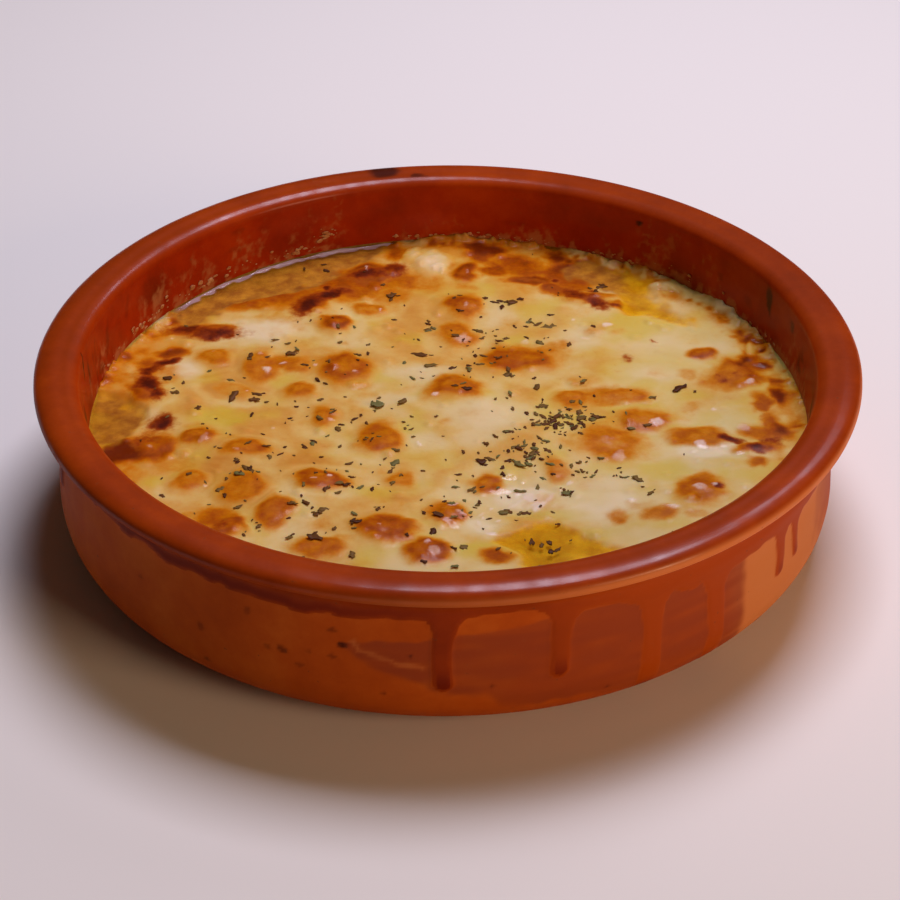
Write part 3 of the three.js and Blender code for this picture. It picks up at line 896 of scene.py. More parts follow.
def scratch_share(azimuth, height):
    """A thin uneven scratch on the body, 0.5 at its middle."""
    scale = math.radians(BODY_RADIUS)
    along = azimuth * scale
    x = along + 0.4 * noise_field(along, height, 2, 49)
    y = height + 0.35 * noise_field(along, height, 1.6, 50)
    away = away_from_line(x, y, [(turn * scale, level) for turn, level in SCRATCH])
    return 0.5 * smooth_step(0.8, 0.2, away)


def dish_relief(turn, walked, radius, height, outside, glaze):
    """How far the clay stands out: faint throwing rings everywhere, and the glaze below the rim."""
    drift = 5 * np.cos(np.radians(turn))
    throwing = layered(walked, drift, (0.05, 1.7, 11), (0.07, 3.8, 12))
    throwing = throwing * smooth_step(0.2, 3, height) * smooth_step(20, 60, radius)
    coat = glaze * smooth_step(3, 9, height) - PLAIN_GLAZE * smooth_step(25.5, 28, height)
    return throwing + GLAZE_RELIEF * coat * (outside & (height < NECK_HEIGHT + 0.6))


def painted_sheen_share(turn, radius, height):
    """Painted sheen on the rim's face, stronger on the lit side, and a painted highlight line along the
    lip's lower edge at the lit side.
    """
    face = along_table(turn, FACE_SHEEN) * smooth_step(DISH_HEIGHT - 0.5, LIP_SHOULDER_HEIGHT, height)
    face = face * smooth_step(NECK_HEIGHT + 1.8, LIP_EDGE_HEIGHT - 1.6, height)
    lit_side = smooth_step(8, 34, turn) * smooth_step(84, 68, turn)
    lip_edge = np.exp(-(((height - LIP_EDGE_HEIGHT + 1.35) / 0.5) ** 2)) * (radius > NECK_RADIUS + 3)
    return np.maximum(face, lip_edge * lit_side)


def dish_marks(turn, radius, height, outside, glaze):
    """Where the clay is washed, scratched or burnt, where light, sheen and shade are painted on it, and how
    much it shines.
    """
    body = outside & (height < LIP_EDGE_HEIGHT)
    inside = ~outside & (height < DISH_HEIGHT - MOUTH_BEVEL_DROP)
    crest = smooth_step(LIP_EDGE_HEIGHT - 0.8, LIP_SHOULDER_HEIGHT + 0.8, height)
    scratch = scratch_share(turn, height)
    wash = wash_share(turn, height) * smooth_step(0.5, 0.1, glaze) * (1 - scratch) * body
    # Painted light: the bare clay at the lit right side is made paler; the scratch is added to the same
    # mark.
    scratch_and_painted_light = smooth_step(40, 46, turn) * smooth_step(80, 64, turn) * (1 - glaze)
    # Painted light: the glaze below the lip turns a lighter orange towards the lit front right.
    painted_lit_glaze = smooth_step(-2, 30, turn) * smooth_step(100, 70, turn)
    smears = np.maximum(marks_share(INNER_SMEARS, turn, height), baked_on(turn, height)) * inside
    specks = marks_share(BODY_SPECKS, turn, height) * body
    stains = marks_share(RIM_STAINS, turn, radius) * (height > LIP_SHOULDER_HEIGHT)
    # Painted shade: darker at the foot on the left and on the rim's top at the back right.
    foot = along_table(turn, FOOT_SHADE) * smooth_step(9, 0, height) * outside
    shaded_rim = along_table(turn, RIM_SHADE) * crest
    dots = 1 + lap_noise(turn, 0.3 * height, RIM_RADIUS, (0.5, 2.4, 36))
    rim_gloss = 0.01 + along_table(turn, RIM_GLOSS) * crest * dots
    body_gloss = 0.05 * np.maximum(smooth_step(0.1, 0.5, glaze), wash)
    gloss = np.where(body & (height < LIP_EDGE_HEIGHT - 1.5), body_gloss, rim_gloss)
    return {
        "wash": wash,
        "scratch_and_painted_light": np.maximum(scratch_and_painted_light, scratch) * body,
        "burnt_and_painted_shade": np.maximum.reduce([smears, specks, stains, foot, shaded_rim]),
        "painted_lip_sheen": painted_sheen_share(turn, radius, height) * outside,
        "painted_lit_glaze": painted_lit_glaze * (outside & (height < LIP_EDGE_HEIGHT - 1.6)),
        "gloss": np.where(inside, 0.2, gloss),
    }


def dish_piece():
    """The clay dish, with throwing rings, glaze runs and the slight unevenness of hand work."""
    section = dish_section()
    slope = np.gradient(section, axis=0)
    slope /= np.hypot(slope[:, 0], slope[:, 1])[:, None]
    azimuth = np.linspace(-180, 180, DISH_TURNS, endpoint=False)
    turn, ring = np.meshgrid(azimuth, np.arange(len(section)))
    radius = section[ring, 0]
    height = section[ring, 1]
    outside = (ring < np.argmax(section[:, 1])) & (radius > BASE_RADIUS)
    glaze = np.where(outside & (height <= LIP_EDGE_HEIGHT), glaze_thickness(turn, height), PLAIN_GLAZE)
    fields = {
        "glaze": glaze,
        "fired": smooth_step(DISH_HEIGHT - 0.2, DISH_HEIGHT - 3, height) * ~outside,
        "residue": dried_film(turn, height) * ~outside,
    }
    push = dish_relief(turn, ring * DISH_STEP, radius, height, outside, glaze)
    radius = radius + push * slope[ring, 1]
    height = height - push * slope[ring, 0] * (height > 0.5)
    fields.update(dish_marks(turn, radius, height, outside, glaze))
    lean = 0.6 * smooth_step(27, 20, height) * smooth_step(BASE_RADIUS - 6, BODY_RADIUS, radius) * outside
    x = radius * np.sin(np.radians(turn)) - lean
    y = -radius * np.cos(np.radians(turn))
    points = np.stack([x, y, height], -1).reshape(-1, 3)
    fields = {name: values.ravel() for name, values in fields.items()}
    return new_mesh("clay_dish", points, turned_faces(len(section), DISH_TURNS), fields)


def pool_edge(corners):
    """A pool's edge as points of a closed smooth curve."""
    corners = np.array(corners, float)
    edge = []
    for i in range(len(corners)):
        before, start, end, after = (corners[(i + k) % len(corners)] for k in (-1, 0, 1, 2))
        for share in np.arange(0, 1, 0.125):
            bend = 2 * start + (end - before) * share
            bend = bend + (2 * before - 5 * start + 4 * end - after) * share**2
            bend = bend + (3 * start - before - 3 * end + after) * share**3
            edge.append(bend / 2)
    return np.array(edge)


def oil_inset(x, y):
    """Distance in from the shore of the nearest oil pool, with an uneven shore."""
    bent_x, bent_y = warped(x, y, 5, 1.2, 40)
    inset = np.max([inside_edge(bent_x, bent_y, pool_edge(corners)) for corners in OIL_POOLS.values()], 0)
    inset = inset + layered(x, y, (0.9, 3.2, 51), (0.4, 1.3, 52))
    return inset - 4 * strongest(x, y, POOL_SHOALS, 48, 0.8)


def silted(x, y):
    """Where browned bits silt up the pools: at the back left and the left."""
    back = smooth_step(40, 54, y + 0.5 * np.clip(-x - 20, 0, 30)) * smooth_step(42, 33, x)
    return np.maximum(back, 0.7 * smooth_step(-56, -62, x))


def painted_glint_marks(x, y):
    """Where pale streaks and spots are painted on the skin as glints."""
    bent_x, bent_y = warped(x, y, 2.4, 0.5, 47)
    streaks = np.zeros(np.shape(x))
    for strength, half_width, places in GLINT_STREAKS:
        away = away_from_line(bent_x, bent_y, places)
        streaks = np.maximum(streaks, strength * np.exp(-((away / half_width) ** 2)))
    streaks = streaks * np.clip(0.7 + 0.7 * noise_field(x, y, 1.5, 42), 0, 1)
    return np.maximum(streaks, strongest(x, y, GLINT_SPOTS, 43, 0.45))


def wall_foam(x, y):
    """Where pale dried foam crusts the cheese's edge along the wall."""
    away = np.hypot(x, y) + layered(x, y, (1.1, 2.4, 57), (0.9, 1.0, 58))
    azimuth = np.degrees(np.arctan2(x, -y))
    foam_and_painted_highlight = np.zeros(np.shape(x))
    for place, half_width, strength in FOAM_STRETCHES:
        share = np.abs(around(azimuth, place)) / half_width
        foam_and_painted_highlight = np.maximum(foam_and_painted_highlight, strength * smooth_step(1.3, 0.7, share))
    return foam_and_painted_highlight * smooth_step(WALL_RADIUS - 3, WALL_RADIUS - 0.4, away)


def foam_lumps(x, y):
    """Pale lumps of froth dried on the skin, their rise in millimetres."""
    lumps = np.zeros(np.shape(x))
    for place_x, place_y, width, depth, rise in FOAM_LUMPS:
        share = oval_share(x, y, place_x, place_y, width, depth)
        lumps = np.maximum(lumps, rise * np.clip(1 - share, 0, 1) ** 0.8)
    return lumps


def swelling(x, y):
    """Soft swellings of the skin, about -1 to 1: what stands up is toasted first, hollows stay pale."""
    return layered(x, y, (0.65, 7.5, 61), (0.4, 3.4, 62))


def blister_warp(x, y):
    """The uneven outline that the blisters' form and browning share."""
    bent_x, bent_y = warped(x, y, 5.5, 1.3, 71)
    return warped(bent_x, bent_y, 2.1, 0.55, 73)


def blister_rise(x, y):
    """The rise of the browned blisters, crinkled on top."""
    bent_x, bent_y = blister_warp(x, y)
    top = np.zeros(np.shape(x))
    for place_x, place_y, width, depth, rise, _ in BLISTERS:
        share = oval_share(bent_x, bent_y, place_x, place_y, width * 1.3, depth * 1.3)
        top = np.maximum(top, DOME_SINK * rise * np.clip(1 - share, 0, 1) ** 1.4)
    return top + layered(x, y, (0.1, 1.9, 67), (0.04, 0.9, 68)) * np.clip(top * 1.6, 0, 1)


def ruffle_rise(x, y):
    """The wrinkles of the wet places."""
    bent_x, bent_y = blister_warp(x, y)
    ruffle = 0.3 * noise_field(x + y, y, 2.6, 53) + 0.1 * noise_field(x, y, 1.3, 54)
    wet = np.zeros(np.shape(x))
    for place_x, place_y, width, depth, strength in WET_PLACES:
        share = oval_share(bent_x, bent_y, place_x, place_y, width, depth)
        wet = wet + strength * np.clip(1 - share, 0, 1)
    return wet * ruffle


def random_place(draw, reach):
    """A random place in a disc."""
    angle = draw.uniform(0, 2 * math.pi)
    away = reach * math.sqrt(draw.random())
    return away * math.cos(angle), away * math.sin(angle)


def bubble_rise(x, y):
    """The rise of the fine bubbles in the skin."""
    draw = random.Random(81)
    height = np.zeros(np.shape(x))
    for _ in range(BUBBLE_COUNT):
        place_x, place_y = random_place(draw, 69)
        radius = draw.uniform(0.45, 1.5) ** 1.3
        rise = radius * draw.uniform(0.12, 0.3)
        share = ((x - place_x) ** 2 + (y - place_y) ** 2) / radius**2
        height = height + rise * np.clip(1 - share, 0, 1) ** 1.2
    return height


def crust_rise(x, y):
    """The rise of the dried foam along the wall and of the pale lumps."""
    crust = wall_foam(x, y) * (0.45 + layered(x, y, (0.3, 3.1, 69), (0.15, 1.2, 59)))
    uneven = 0.75 + layered(x, y, (0.3, 2.1, 56), (0.3, 1.0, 55))
    return np.maximum(crust, uneven * foam_lumps(*blister_warp(x, y)))


def cheese_height(x, y):
    """Height of the cheese's top: gentle waves, blisters, fine bubbles, hollows for oil and dried foam."""
    wave = sum(
        share * np.sin(x / long_x + at_x) * np.cos(y / long_y + at_y)
        for long_x, at_x, long_y, at_y, share in WAVES
    )
    height = CHEESE_LEVEL + CHEESE_WAVE * wave + 0.26 * swelling(x, y)
    height = height + blister_rise(x, y) + ruffle_rise(x, y) + bubble_rise(x, y)
    height = height + 0.22 * painted_glint_marks(x, y) + 0.03 * noise_field(x, y, 1.1, 63)
    inset = oil_inset(x, y)
    bank = np.maximum(height, OIL_LEVEL + 0.12)
    height = height + (bank - height) * smooth_step(-3.5, -0.5, inset)
    deep = np.clip(0.16 * inset * (1 - 0.75 * silted(x, y)), -0.3, OIL_DEPTH - 0.2)
    bed = OIL_LEVEL - deep + 0.1 * noise_field(x, y, 2.4, 64)
    height = height + (bed - height) * smooth_step(-1.6, 1.0, inset)
    climb = np.clip(0.4 + layered(x, y, (0.35, 6, 65), (0.4, 2.2, 66), (0.5, 1.0, 38)), 0, 1.4)
    climb = climb * smooth_step(WALL_RADIUS - 2.2, WALL_RADIUS, np.hypot(x, y))
    return height + climb * smooth_step(0.5, -1.5, inset) + crust_rise(x, y)


def amber_spots():
    """Faint toasted spots all over the skin, more of them at the left and back."""
    draw = random.Random(85)
    spots = []
    while len(spots) < AMBER_COUNT:
        x, y = random_place(draw, 66)
        if draw.random() < 0.55 - 0.007 * x + 0.004 * y:
            width = draw.uniform(1.6, 6.5)
            depth = width * draw.uniform(0.5, 1)
            spots.append((x, y, width, depth, draw.uniform(-40, 40), draw.uniform(0.12, 0.42)))
    return spots


def blister_browning(bent_x, bent_y):
    """How browned the blisters are, and the pale ring round each."""
    browned = np.zeros(np.shape(bent_x))
    pale_ring = np.zeros(np.shape(bent_x))
    for place_x, place_y, width, depth, _, tone in BLISTERS:
        share = np.sqrt(oval_share(bent_x, bent_y, place_x, place_y, width, depth))
        dome = tone * smooth_step(1.5, 0.5, share) * (1 - 0.12 * smooth_step(0.7, 0.2, share))
        browned = np.maximum(browned, dome)
        pale_ring = np.maximum(pale_ring, np.exp(-(((share - 1.6) / 0.35) ** 2)))
    return browned, pale_ring


def toast_share(x, y, browned, white, foam_and_painted_highlight, lumps):
    """How toasted the skin is: blisters, thin films and spots, the back and the edge along the wall."""
    films = strongest(x, y, TOASTED_FILMS, 75, 0.55)
    spots = strongest(x, y, amber_spots(), 87, 0.9)
    back = smooth_step(34, 60, y + 7 * noise_field(x, y, 9, 89) - 0.12 * x)
    edge = smooth_step(60, 69, np.hypot(x, y) + 2.5 * noise_field(x, y, 5, 93))
    tone = 0.5 + 0.3 * noise_field(x, y, 3, 98)
    tone = tone + 0.08 * smooth_step(-30, -55, x) - 0.1 * smooth_step(40, 60, y)
    toast = np.maximum.reduce([browned, films, spots]) + 0.26 * back * (1 - white)
    toast = np.clip(toast + tone * edge * (1 - foam_and_painted_highlight), 0, 1.2)
    back_right = smooth_step(10, 30, x) * smooth_step(0, 20, y)
    specks = smooth_step(0.1, 0.8, noise_field(x, y, 1.9, 39)) * back_right
    return toast * (1 - 0.85 * lumps) + 0.34 * specks * edge


def cheese_fields(x, y):
    """Where the cheese is toasted, scorched, white, filmed with oil or under a pool."""
    bent_x, bent_y = blister_warp(x, y)
    browned, pale_ring = blister_browning(bent_x, bent_y)
    white = strongest(x, y, unturned(WHITE_PLACES), 77, 0.6)
    oiled = strongest(x, y, unturned(OIL_FILMS), 79, 0.7)
    scorch = strongest(x, y, SCORCHES, 83, 0.85)
    foam_and_painted_highlight = wall_foam(x, y)
    lumps = np.clip(1.3 * foam_lumps(bent_x, bent_y), 0, 1)
    streaks = painted_glint_marks(x, y)
    wet = np.zeros(np.shape(x))
    for *oval, strength in WET_PLACES:
        wet = np.maximum(wet, strength * smooth_step(1.3, 0.4, oval_share(bent_x, bent_y, *oval)))
    tan = 0.56 - 0.14 * np.tanh((x - 0.25 * y - 4) / 26) - 0.16 * smooth_step(-24, -50, y)
    tan = tan + 0.28 * swelling(x, y) + 0.2 * noise_field(x, y, 9, 91) - 0.4 * white - 0.2 * pale_ring
    yellow = 0.25 + 0.4 * smooth_step(0, 40, x) - 0.35 * smooth_step(0, 24, x) * smooth_step(-6, -34, y)
    yellow = yellow + layered(x, y, (0.7, 7, 94), (0.5, 3.1, 95))
    pool = smooth_step(-2.6, 2.4, oil_inset(x, y) + 1.2 * noise_field(x, y, 2.6, 99))
    murk = silted(x, y) * (1 + layered(x, y, (0.4, 3.4, 97), (0.3, 1.4, 92)))
    return {
        "toast": toast_share(x, y, browned, white, foam_and_painted_highlight, lumps),
        "scorch": scorch * (1 - lumps),
        "white": np.maximum.reduce([white, 0.75 * foam_and_painted_highlight, 0.4 * lumps]),
        # Painted glints on the streaks, spots and wet places, and the pale foam lumps.
        "glints_and_foam": np.maximum.reduce([streaks, 0.2 * wet, 0.5 * lumps]),
        "film": np.maximum(oiled, 0.6 * np.clip(yellow, 0, 1) * (1 - 0.6 * white)),
        "tan": np.clip(tan, 0, 1),
        "pool": pool,
        "shine": (0.1 + 0.35 * wet + 0.4 * streaks) * (1 - pool) * (1 - 0.8 * np.clip(scorch, 0, 1)),
        "sediment": np.clip(pool * murk, 0, 1),
    }


def cheese_piece():
    """The melted cheese, out to the wall and down to the dish's floor."""
    reach = WALL_RADIUS + FOOD_OVERLAP
    count = CHEESE_CELLS + 1
    x, y = disc_grid(CHEESE_CELLS, reach)
    top = np.stack([x.ravel(), y.ravel(), cheese_height(x, y).ravel()], 1)
    loop = grid_rim(count, count)
    angle = np.arctan2(top[loop, 1], top[loop, 0])
    below_oil = OIL_LEVEL - OIL_DEPTH - 0.6
    wall = np.concatenate([[[reach, below_oil]], inside_curve(6) + (0, 0.05)])
    points = [top]
    faces = grid_faces(count, count).tolist()
    above = loop
    for radius, level in wall:
        below = np.arange(len(loop)) + sum(len(part) for part in points)
        ring = [radius * np.cos(angle), radius * np.sin(angle), np.full(len(loop), level)]
        points.append(np.stack(ring, 1))
        faces += band_faces(above, below)
        above = below
    faces.append(above[::-1].tolist())
    fields = {
        name: np.concatenate([values.ravel(), *[values.ravel()[loop]] * len(wall)])
        for name, values in cheese_fields(x, y).items()
    }
    return new_mesh("melted_provolone", np.concatenate(points), faces, fields)


def oil_piece(node, corners):
    """One pool of oil: flat, with its edge drawn up where it meets the clay wall, and a painted highlight
    line along the back wall.
    """
    wall = WALL_RADIUS + 0.04
    near_wall = wall - np.array([2.0, 1.6, 1.3, 1.0, 0.75, 0.55, 0.4, 0.27, 0.14, 0])
    radii = np.append(np.arange(10, wall - 2.2, 0.4), near_wall)
    angles = np.radians(np.arange(0, 360, 0.4))
    radius, angle = np.meshgrid(radii, angles, indexing="ij")
    x, y = radius * np.cos(angle), radius * np.sin(angle)
    draw_up = 0.55 + 0.4 * noise_field(x, y, 3.4, 96)
    level = OIL_LEVEL + draw_up * np.exp((radius - wall) / 0.6)
    wet = inside_edge(x, y, pool_edge(corners)) > -SHORE_OVERLAP
    corner = np.arange(x.size).reshape(x.shape)
    beside = np.roll(corner, -1, axis=1)
    quads = np.stack([corner[:-1], corner[1:], beside[1:], beside[:-1]], -1)
    used, quads = np.unique(quads[wet.ravel()[quads].all(-1)], return_inverse=True)
    quads = quads.reshape(-1, 4)
    top = np.stack([values.ravel()[used] for values in (x, y, level)], 1)
    bottom = top.copy()
    bottom[:, 2] = OIL_LEVEL - OIL_DEPTH
    count = len(top)
    sides = {(int(quad[i]), int(quad[(i + 1) % 4])) for quad in quads for i in range(4)}
    faces = quads.tolist() + (quads[:, ::-1] + count).tolist()
    faces += [(a, a + count, b + count, b) for a, b in sorted(sides) if (b, a) not in sides]
    x, y, level = top.T
    # A pale line where the oil meets the back wall: a painted highlight of the meniscus.
    from_wall = wall - np.hypot(x, y) + 0.45 * noise_field(x, y, 1.6, 41)
    foam_and_painted_highlight = smooth_step(1.05, 0.6, from_wall) * smooth_step(38, 43, y)
    underside = np.zeros(count)
    fields = {
        "depth": np.append(level - cheese_height(x, y), underside),
        "foam_and_painted_highlight": np.append(foam_and_painted_highlight, underside),
    }
    return new_mesh(node.replace("pool", "surface"), np.concatenate([top, bottom]), faces, fields)


def wall_crumbs():
    """Crumbs of cheese that spat up and dried on the inner wall, above the food's edge."""
    draw = random.Random(37)
    sides, rings = 9, 5
    points, faces = [], []
    for place, level, spread, lift, count in CRUMB_FALLS:
        for _ in range(count):
            azimuth = math.radians(place + draw.gauss(0, spread))
            middle = max(level + draw.gauss(0, lift), CHEESE_LEVEL + 0.9)
            size = (0.2 + 0.6 * draw.random() ** 3) * (1 if place < 0 else 0.7)
            tall = size * draw.uniform(0.35, 0.8)
            faces += turned_faces(rings, sides, len(points))
            for ring in range(rings):
                tilt = math.pi / 2 * ring / (rings - 1)
                for side in range(sides):
                    turn = 2 * math.pi * side / sides
                    uneven = 1 + draw.uniform(-0.3, 0.3)
                    along = size * math.sin(tilt) * math.cos(turn) * uneven
                    rise = tall * math.sin(tilt) * math.sin(turn) * uneven
                    radius = WALL_RADIUS + 0.03 - 0.2 * min(size, tall) * math.cos(tilt) * uneven
                    angle = azimuth + along / radius
                    points.append((radius * math.sin(angle), -radius * math.cos(angle), middle + rise))
    return new_mesh("dried_crumbs", points, faces)


def flake_places():
    """Every herb flake, the large ones by place and the rest as they fell."""
    draw = random.Random(23)
    flakes = [(x, y, 0.85 * length, 0.85 * width, turn) for x, y, length, width, turn in LARGE_FLAKES]
    for fall_x, fall_y, spread, count in HERB_FALLS:
        for _ in range(count):
            length = 0.5 + 1.7 * draw.random() ** 1.8
            x = fall_x + draw.gauss(0, spread)
            y = fall_y + draw.gauss(0, spread)
            width = length * draw.uniform(0.3, 0.6)
            flakes.append((x, y, length, width, draw.uniform(0, 180)))
    return [flake for flake in flakes if math.hypot(flake[0], flake[1]) < 67]


def flake_faces():
    """Quads of one thin flake: its upper side, its lower side and its rim."""
    sheet = FLAKE_ROWS * FLAKE_COLUMNS
    lower = grid_faces(FLAKE_ROWS, FLAKE_COLUMNS) + sheet
    upper = (lower - sheet)[:, [0, 3, 2, 1]]
    rim = grid_rim(FLAKE_ROWS, FLAKE_COLUMNS)
    after = np.roll(rim, -1)
    return np.concatenate([upper, lower, np.stack([rim, after, after + sheet, rim + sheet], 1)])


def herb_piece():
    """Rubbed dried herb: thin curled leaf scraps with uneven edges, lying on the cheese."""
    draw = random.Random(29)
    flakes = flake_places()
    middle_x, middle_y = np.array(flakes).T[:2]
    floating = np.where(oil_inset(middle_x, middle_y) > 0, OIL_LEVEL, 0)
    ground = np.maximum(cheese_height(middle_x, middle_y), floating)
    ends = [np.linspace(-1, 1, count) for count in (FLAKE_ROWS, FLAKE_COLUMNS)]
    along, across = np.meshgrid(*ends, indexing="ij")
    points, faces, tones = [], [], []
    for (place_x, place_y, length, width, turn), level in zip(flakes, ground):
        curl = draw.uniform(-0.1, 0.16) * length / 2
        fold = draw.uniform(-0.2, 0.4) * width / 2
        tilt = draw.uniform(-0.1, 0.1)
        tone = draw.random() * (0.4 if place_y > 38 else 1)
        blunt = draw.uniform(1.6, 4)
        torn = np.reshape([draw.uniform(-0.45, 0.45) for _ in range(along.size)], along.shape)
        shift = np.reshape([draw.uniform(-0.35, 0.35) for _ in range(FLAKE_ROWS)], (-1, 1))
        half = 0.2 + 0.8 * (1 - np.abs(along) ** blunt)
        u = along * length / 2 * (1 + 0.5 * torn * np.abs(across))
        v = (across * half * (1 + torn) + shift) * width / 2
        rise = level + 0.06 + curl * along**2 + fold * np.abs(across) + tilt * u
        angle = math.radians(turn)
        x = place_x + u * math.cos(angle) - v * math.sin(angle)
        y = place_y + u * math.sin(angle) + v * math.cos(angle)
        faces.append(flake_faces() + 2 * along.size * len(faces))
        for side in (1, -1):
            points.append(np.stack([x, y, rise + side * FLAKE_THICKNESS / 2], -1).reshape(-1, 3))
        tones += [tone] * 2 * along.size
    return new_mesh("herb_flakes", np.concatenate(points), np.concatenate(faces).tolist(), {"tone": tones})


def set_inputs(tree, node, inputs):
    """Sets a node's inputs: a socket is linked, anything else is a value."""
    for key, value in inputs.items():
        if isinstance(value, bpy.types.NodeSocket):
            tree.links.new(value, node.inputs[key])
        else:
            node.inputs[key].default_value = value


def add_node(tree, kind, inputs=None, stops=None, **settings):
    """Adds one shader node, with its settings, its inputs as values or links, and its colour stops."""
    node = tree.nodes.new(kind)
    for name, value in settings.items():
        setattr(node, name, value)
    set_inputs(tree, node, inputs or {})
    if stops:
        ramp = node.color_ramp
        while len(ramp.elements) < len(stops):
            ramp.elements.new(0.5)
        for element, (place, code) in zip(ramp.elements, stops):
            element.position = place
            element.color = hex_colour(code)
    return node


def new_material(name):
    """An empty node material, its tree and its surface shader."""
    material = bpy.data.materials.new(name)
    material.use_nodes = True
    tree = material.node_tree
    return material, tree, tree.nodes["Principled BSDF"]


def per_metre(size):
    """A texture scale for spots of a size in millimetres."""
    return 1 / (size * MM)


def roughened(tree, mask, *grains):
    """A mask made uneven by textures, each added by its weight."""
    for texture, weight in grains:
        inputs = {0: texture, 1: weight, 2: mask}
        mask = add_node(tree, "ShaderNodeMath", inputs, operation="MULTIPLY_ADD").outputs[0]
    return mask


def stained(tree, under, colour, mask, low, high, most=1.0):
    """A colour laid over another where a mask rises between two limits."""
    risen = {"Value": mask, "From Min": low, "From Max": high, "To Max": most}
    share = add_node(tree, "ShaderNodeMapRange", risen, interpolation_type="SMOOTHSTEP").outputs["Result"]
    layers = [hex_colour(layer) if isinstance(layer, str) else layer for layer in (under, colour)]
    inputs = {0: share, 6: layers[0], 7: layers[1]}
    return add_node(tree, "ShaderNodeMix", inputs, data_type="RGBA").outputs[2]


def shaded(tree, value, low, high, stops):
    """A row of colours that a value runs through between two limits."""
    risen = {"Value": value, "From Min": low, "From Max": high}
    share = add_node(tree, "ShaderNodeMapRange", risen, interpolation_type="SMOOTHSTEP").outputs["Result"]
    return add_node(tree, "ShaderNodeValToRGB", {"Fac": share}, stops).outputs["Color"]


def melted_cheese_finish():
    """Oven-melted provolone: milky and a little see-through, toasted in spots under a thin oily gloss."""
    material, tree, surface = new_material("oven_melted_provolone")
    place = add_node(tree, "ShaderNodeTexCoord").outputs["Object"]
    toast, scorch, white, film, tan, pool, sediment, shine, glints_and_foam = (
        add_node(tree, "ShaderNodeAttribute", attribute_name=name).outputs["Fac"]
        for name in ("toast", "scorch", "white", "film", "tan", "pool", "sediment", "shine", "glints_and_foam")
    )
    mottle = add_node(
        tree, "ShaderNodeTexNoise",
        {"Vector": place, "Scale": per_metre(3.2), "Detail": 4.0, "Roughness": 0.6},
    ).outputs["Fac"]
    fleck = add_node(
        tree, "ShaderNodeTexNoise",
        {"Vector": place, "Scale": per_metre(1.1), "Detail": 3.0, "Roughness": 0.6},
    ).outputs["Fac"]
    grain = add_node(
        tree, "ShaderNodeTexNoise", {"Vector": place, "Scale": per_metre(0.7), "Detail": 3.0},
    ).outputs["Fac"]
    skin = shaded(
        tree, roughened(tree, tan, (mottle, 0.3), (fleck, 0.15)), 0.2, 1.35,
        [(0.0, "#DCC182"), (0.35, "#D6B062"), (0.65, "#D09A46"), (1.0, "#C07A24")],
    )
    skin = stained(tree, skin, "#DAC28C", white, 0.2, 1.0, 0.85)
    skin = stained(tree, skin, "#EAD6AC", white, 0.65, 1.1, 0.7)
    skin = stained(tree, skin, "#CCAE30", film, 0.05, 0.9, 0.68)
    uneven_toast = roughened(tree, toast, (mottle, 0.46), (fleck, 0.12))
    toasted = shaded(
        tree, uneven_toast, 0.29, 1.39,
        [(0.0, "#D6A450"), (0.3, "#CE8C28"), (0.58, "#C47206"), (0.8, "#A44C00"), (1.0, "#6C2400")],
    )
    skin = stained(tree, skin, toasted, uneven_toast, 0.3, 0.94)
    uneven_scorch = roughened(tree, scorch, (mottle, 0.6), (fleck, 0.5))
    scorched = shaded(
        tree, uneven_scorch, 0.8, 1.6,
        [(0.0, "#B05A0A"), (0.35, "#903A04"), (0.7, "#702404"), (1.0, "#4A1404")],
    )
    skin = stained(tree, skin, scorched, uneven_scorch, 0.65, 1.15)
    # Painted glints: pink-white streaks and spots where the skin catches the light, and the pale foam lumps.
    skin = stained(tree, skin, "#F0D8C4", roughened(tree, glints_and_foam, (fleck, 0.5)), 0.45, 1.3, 0.72)
    bed = stained(tree, "#CC8A00", "#E6AC10", mottle, 0.35, 0.65)
    skin = stained(tree, skin, bed, pool, 0.0, 1.0, 0.92)
    silt = stained(tree, "#884A16", "#BC7C26", roughened(tree, mottle, (fleck, 0.15)), 0.34, 0.86)
    skin = stained(tree, skin, silt, sediment, 0.0, 0.6, 0.92)
    roughness = add_node(
        tree, "ShaderNodeMapRange",
        {"Value": mottle, "From Min": 0.3, "From Max": 0.7, "To Min": 0.34, "To Max": 0.5},
        interpolation_type="SMOOTHSTEP",
    ).outputs["Result"]
    bump = add_node(tree, "ShaderNodeBump", {"Height": grain, "Strength": 0.25, "Distance": 0.12 * MM})
    set_inputs(tree, surface, {
        "Base Color": skin,
        "Roughness": roughened(tree, roughness, (pool, 0.45)),
        "IOR": 1.45,
        "Specular IOR Level": 0.06,
        "Subsurface Weight": 0.4,
        "Subsurface Radius": (1.0, 0.55, 0.25),
        "Subsurface Scale": 2.2 * MM,
        "Coat Weight": shine,
        "Coat Roughness": 0.16,
        "Coat IOR": 1.47,
        "Normal": bump.outputs["Normal"],
    })
    return material


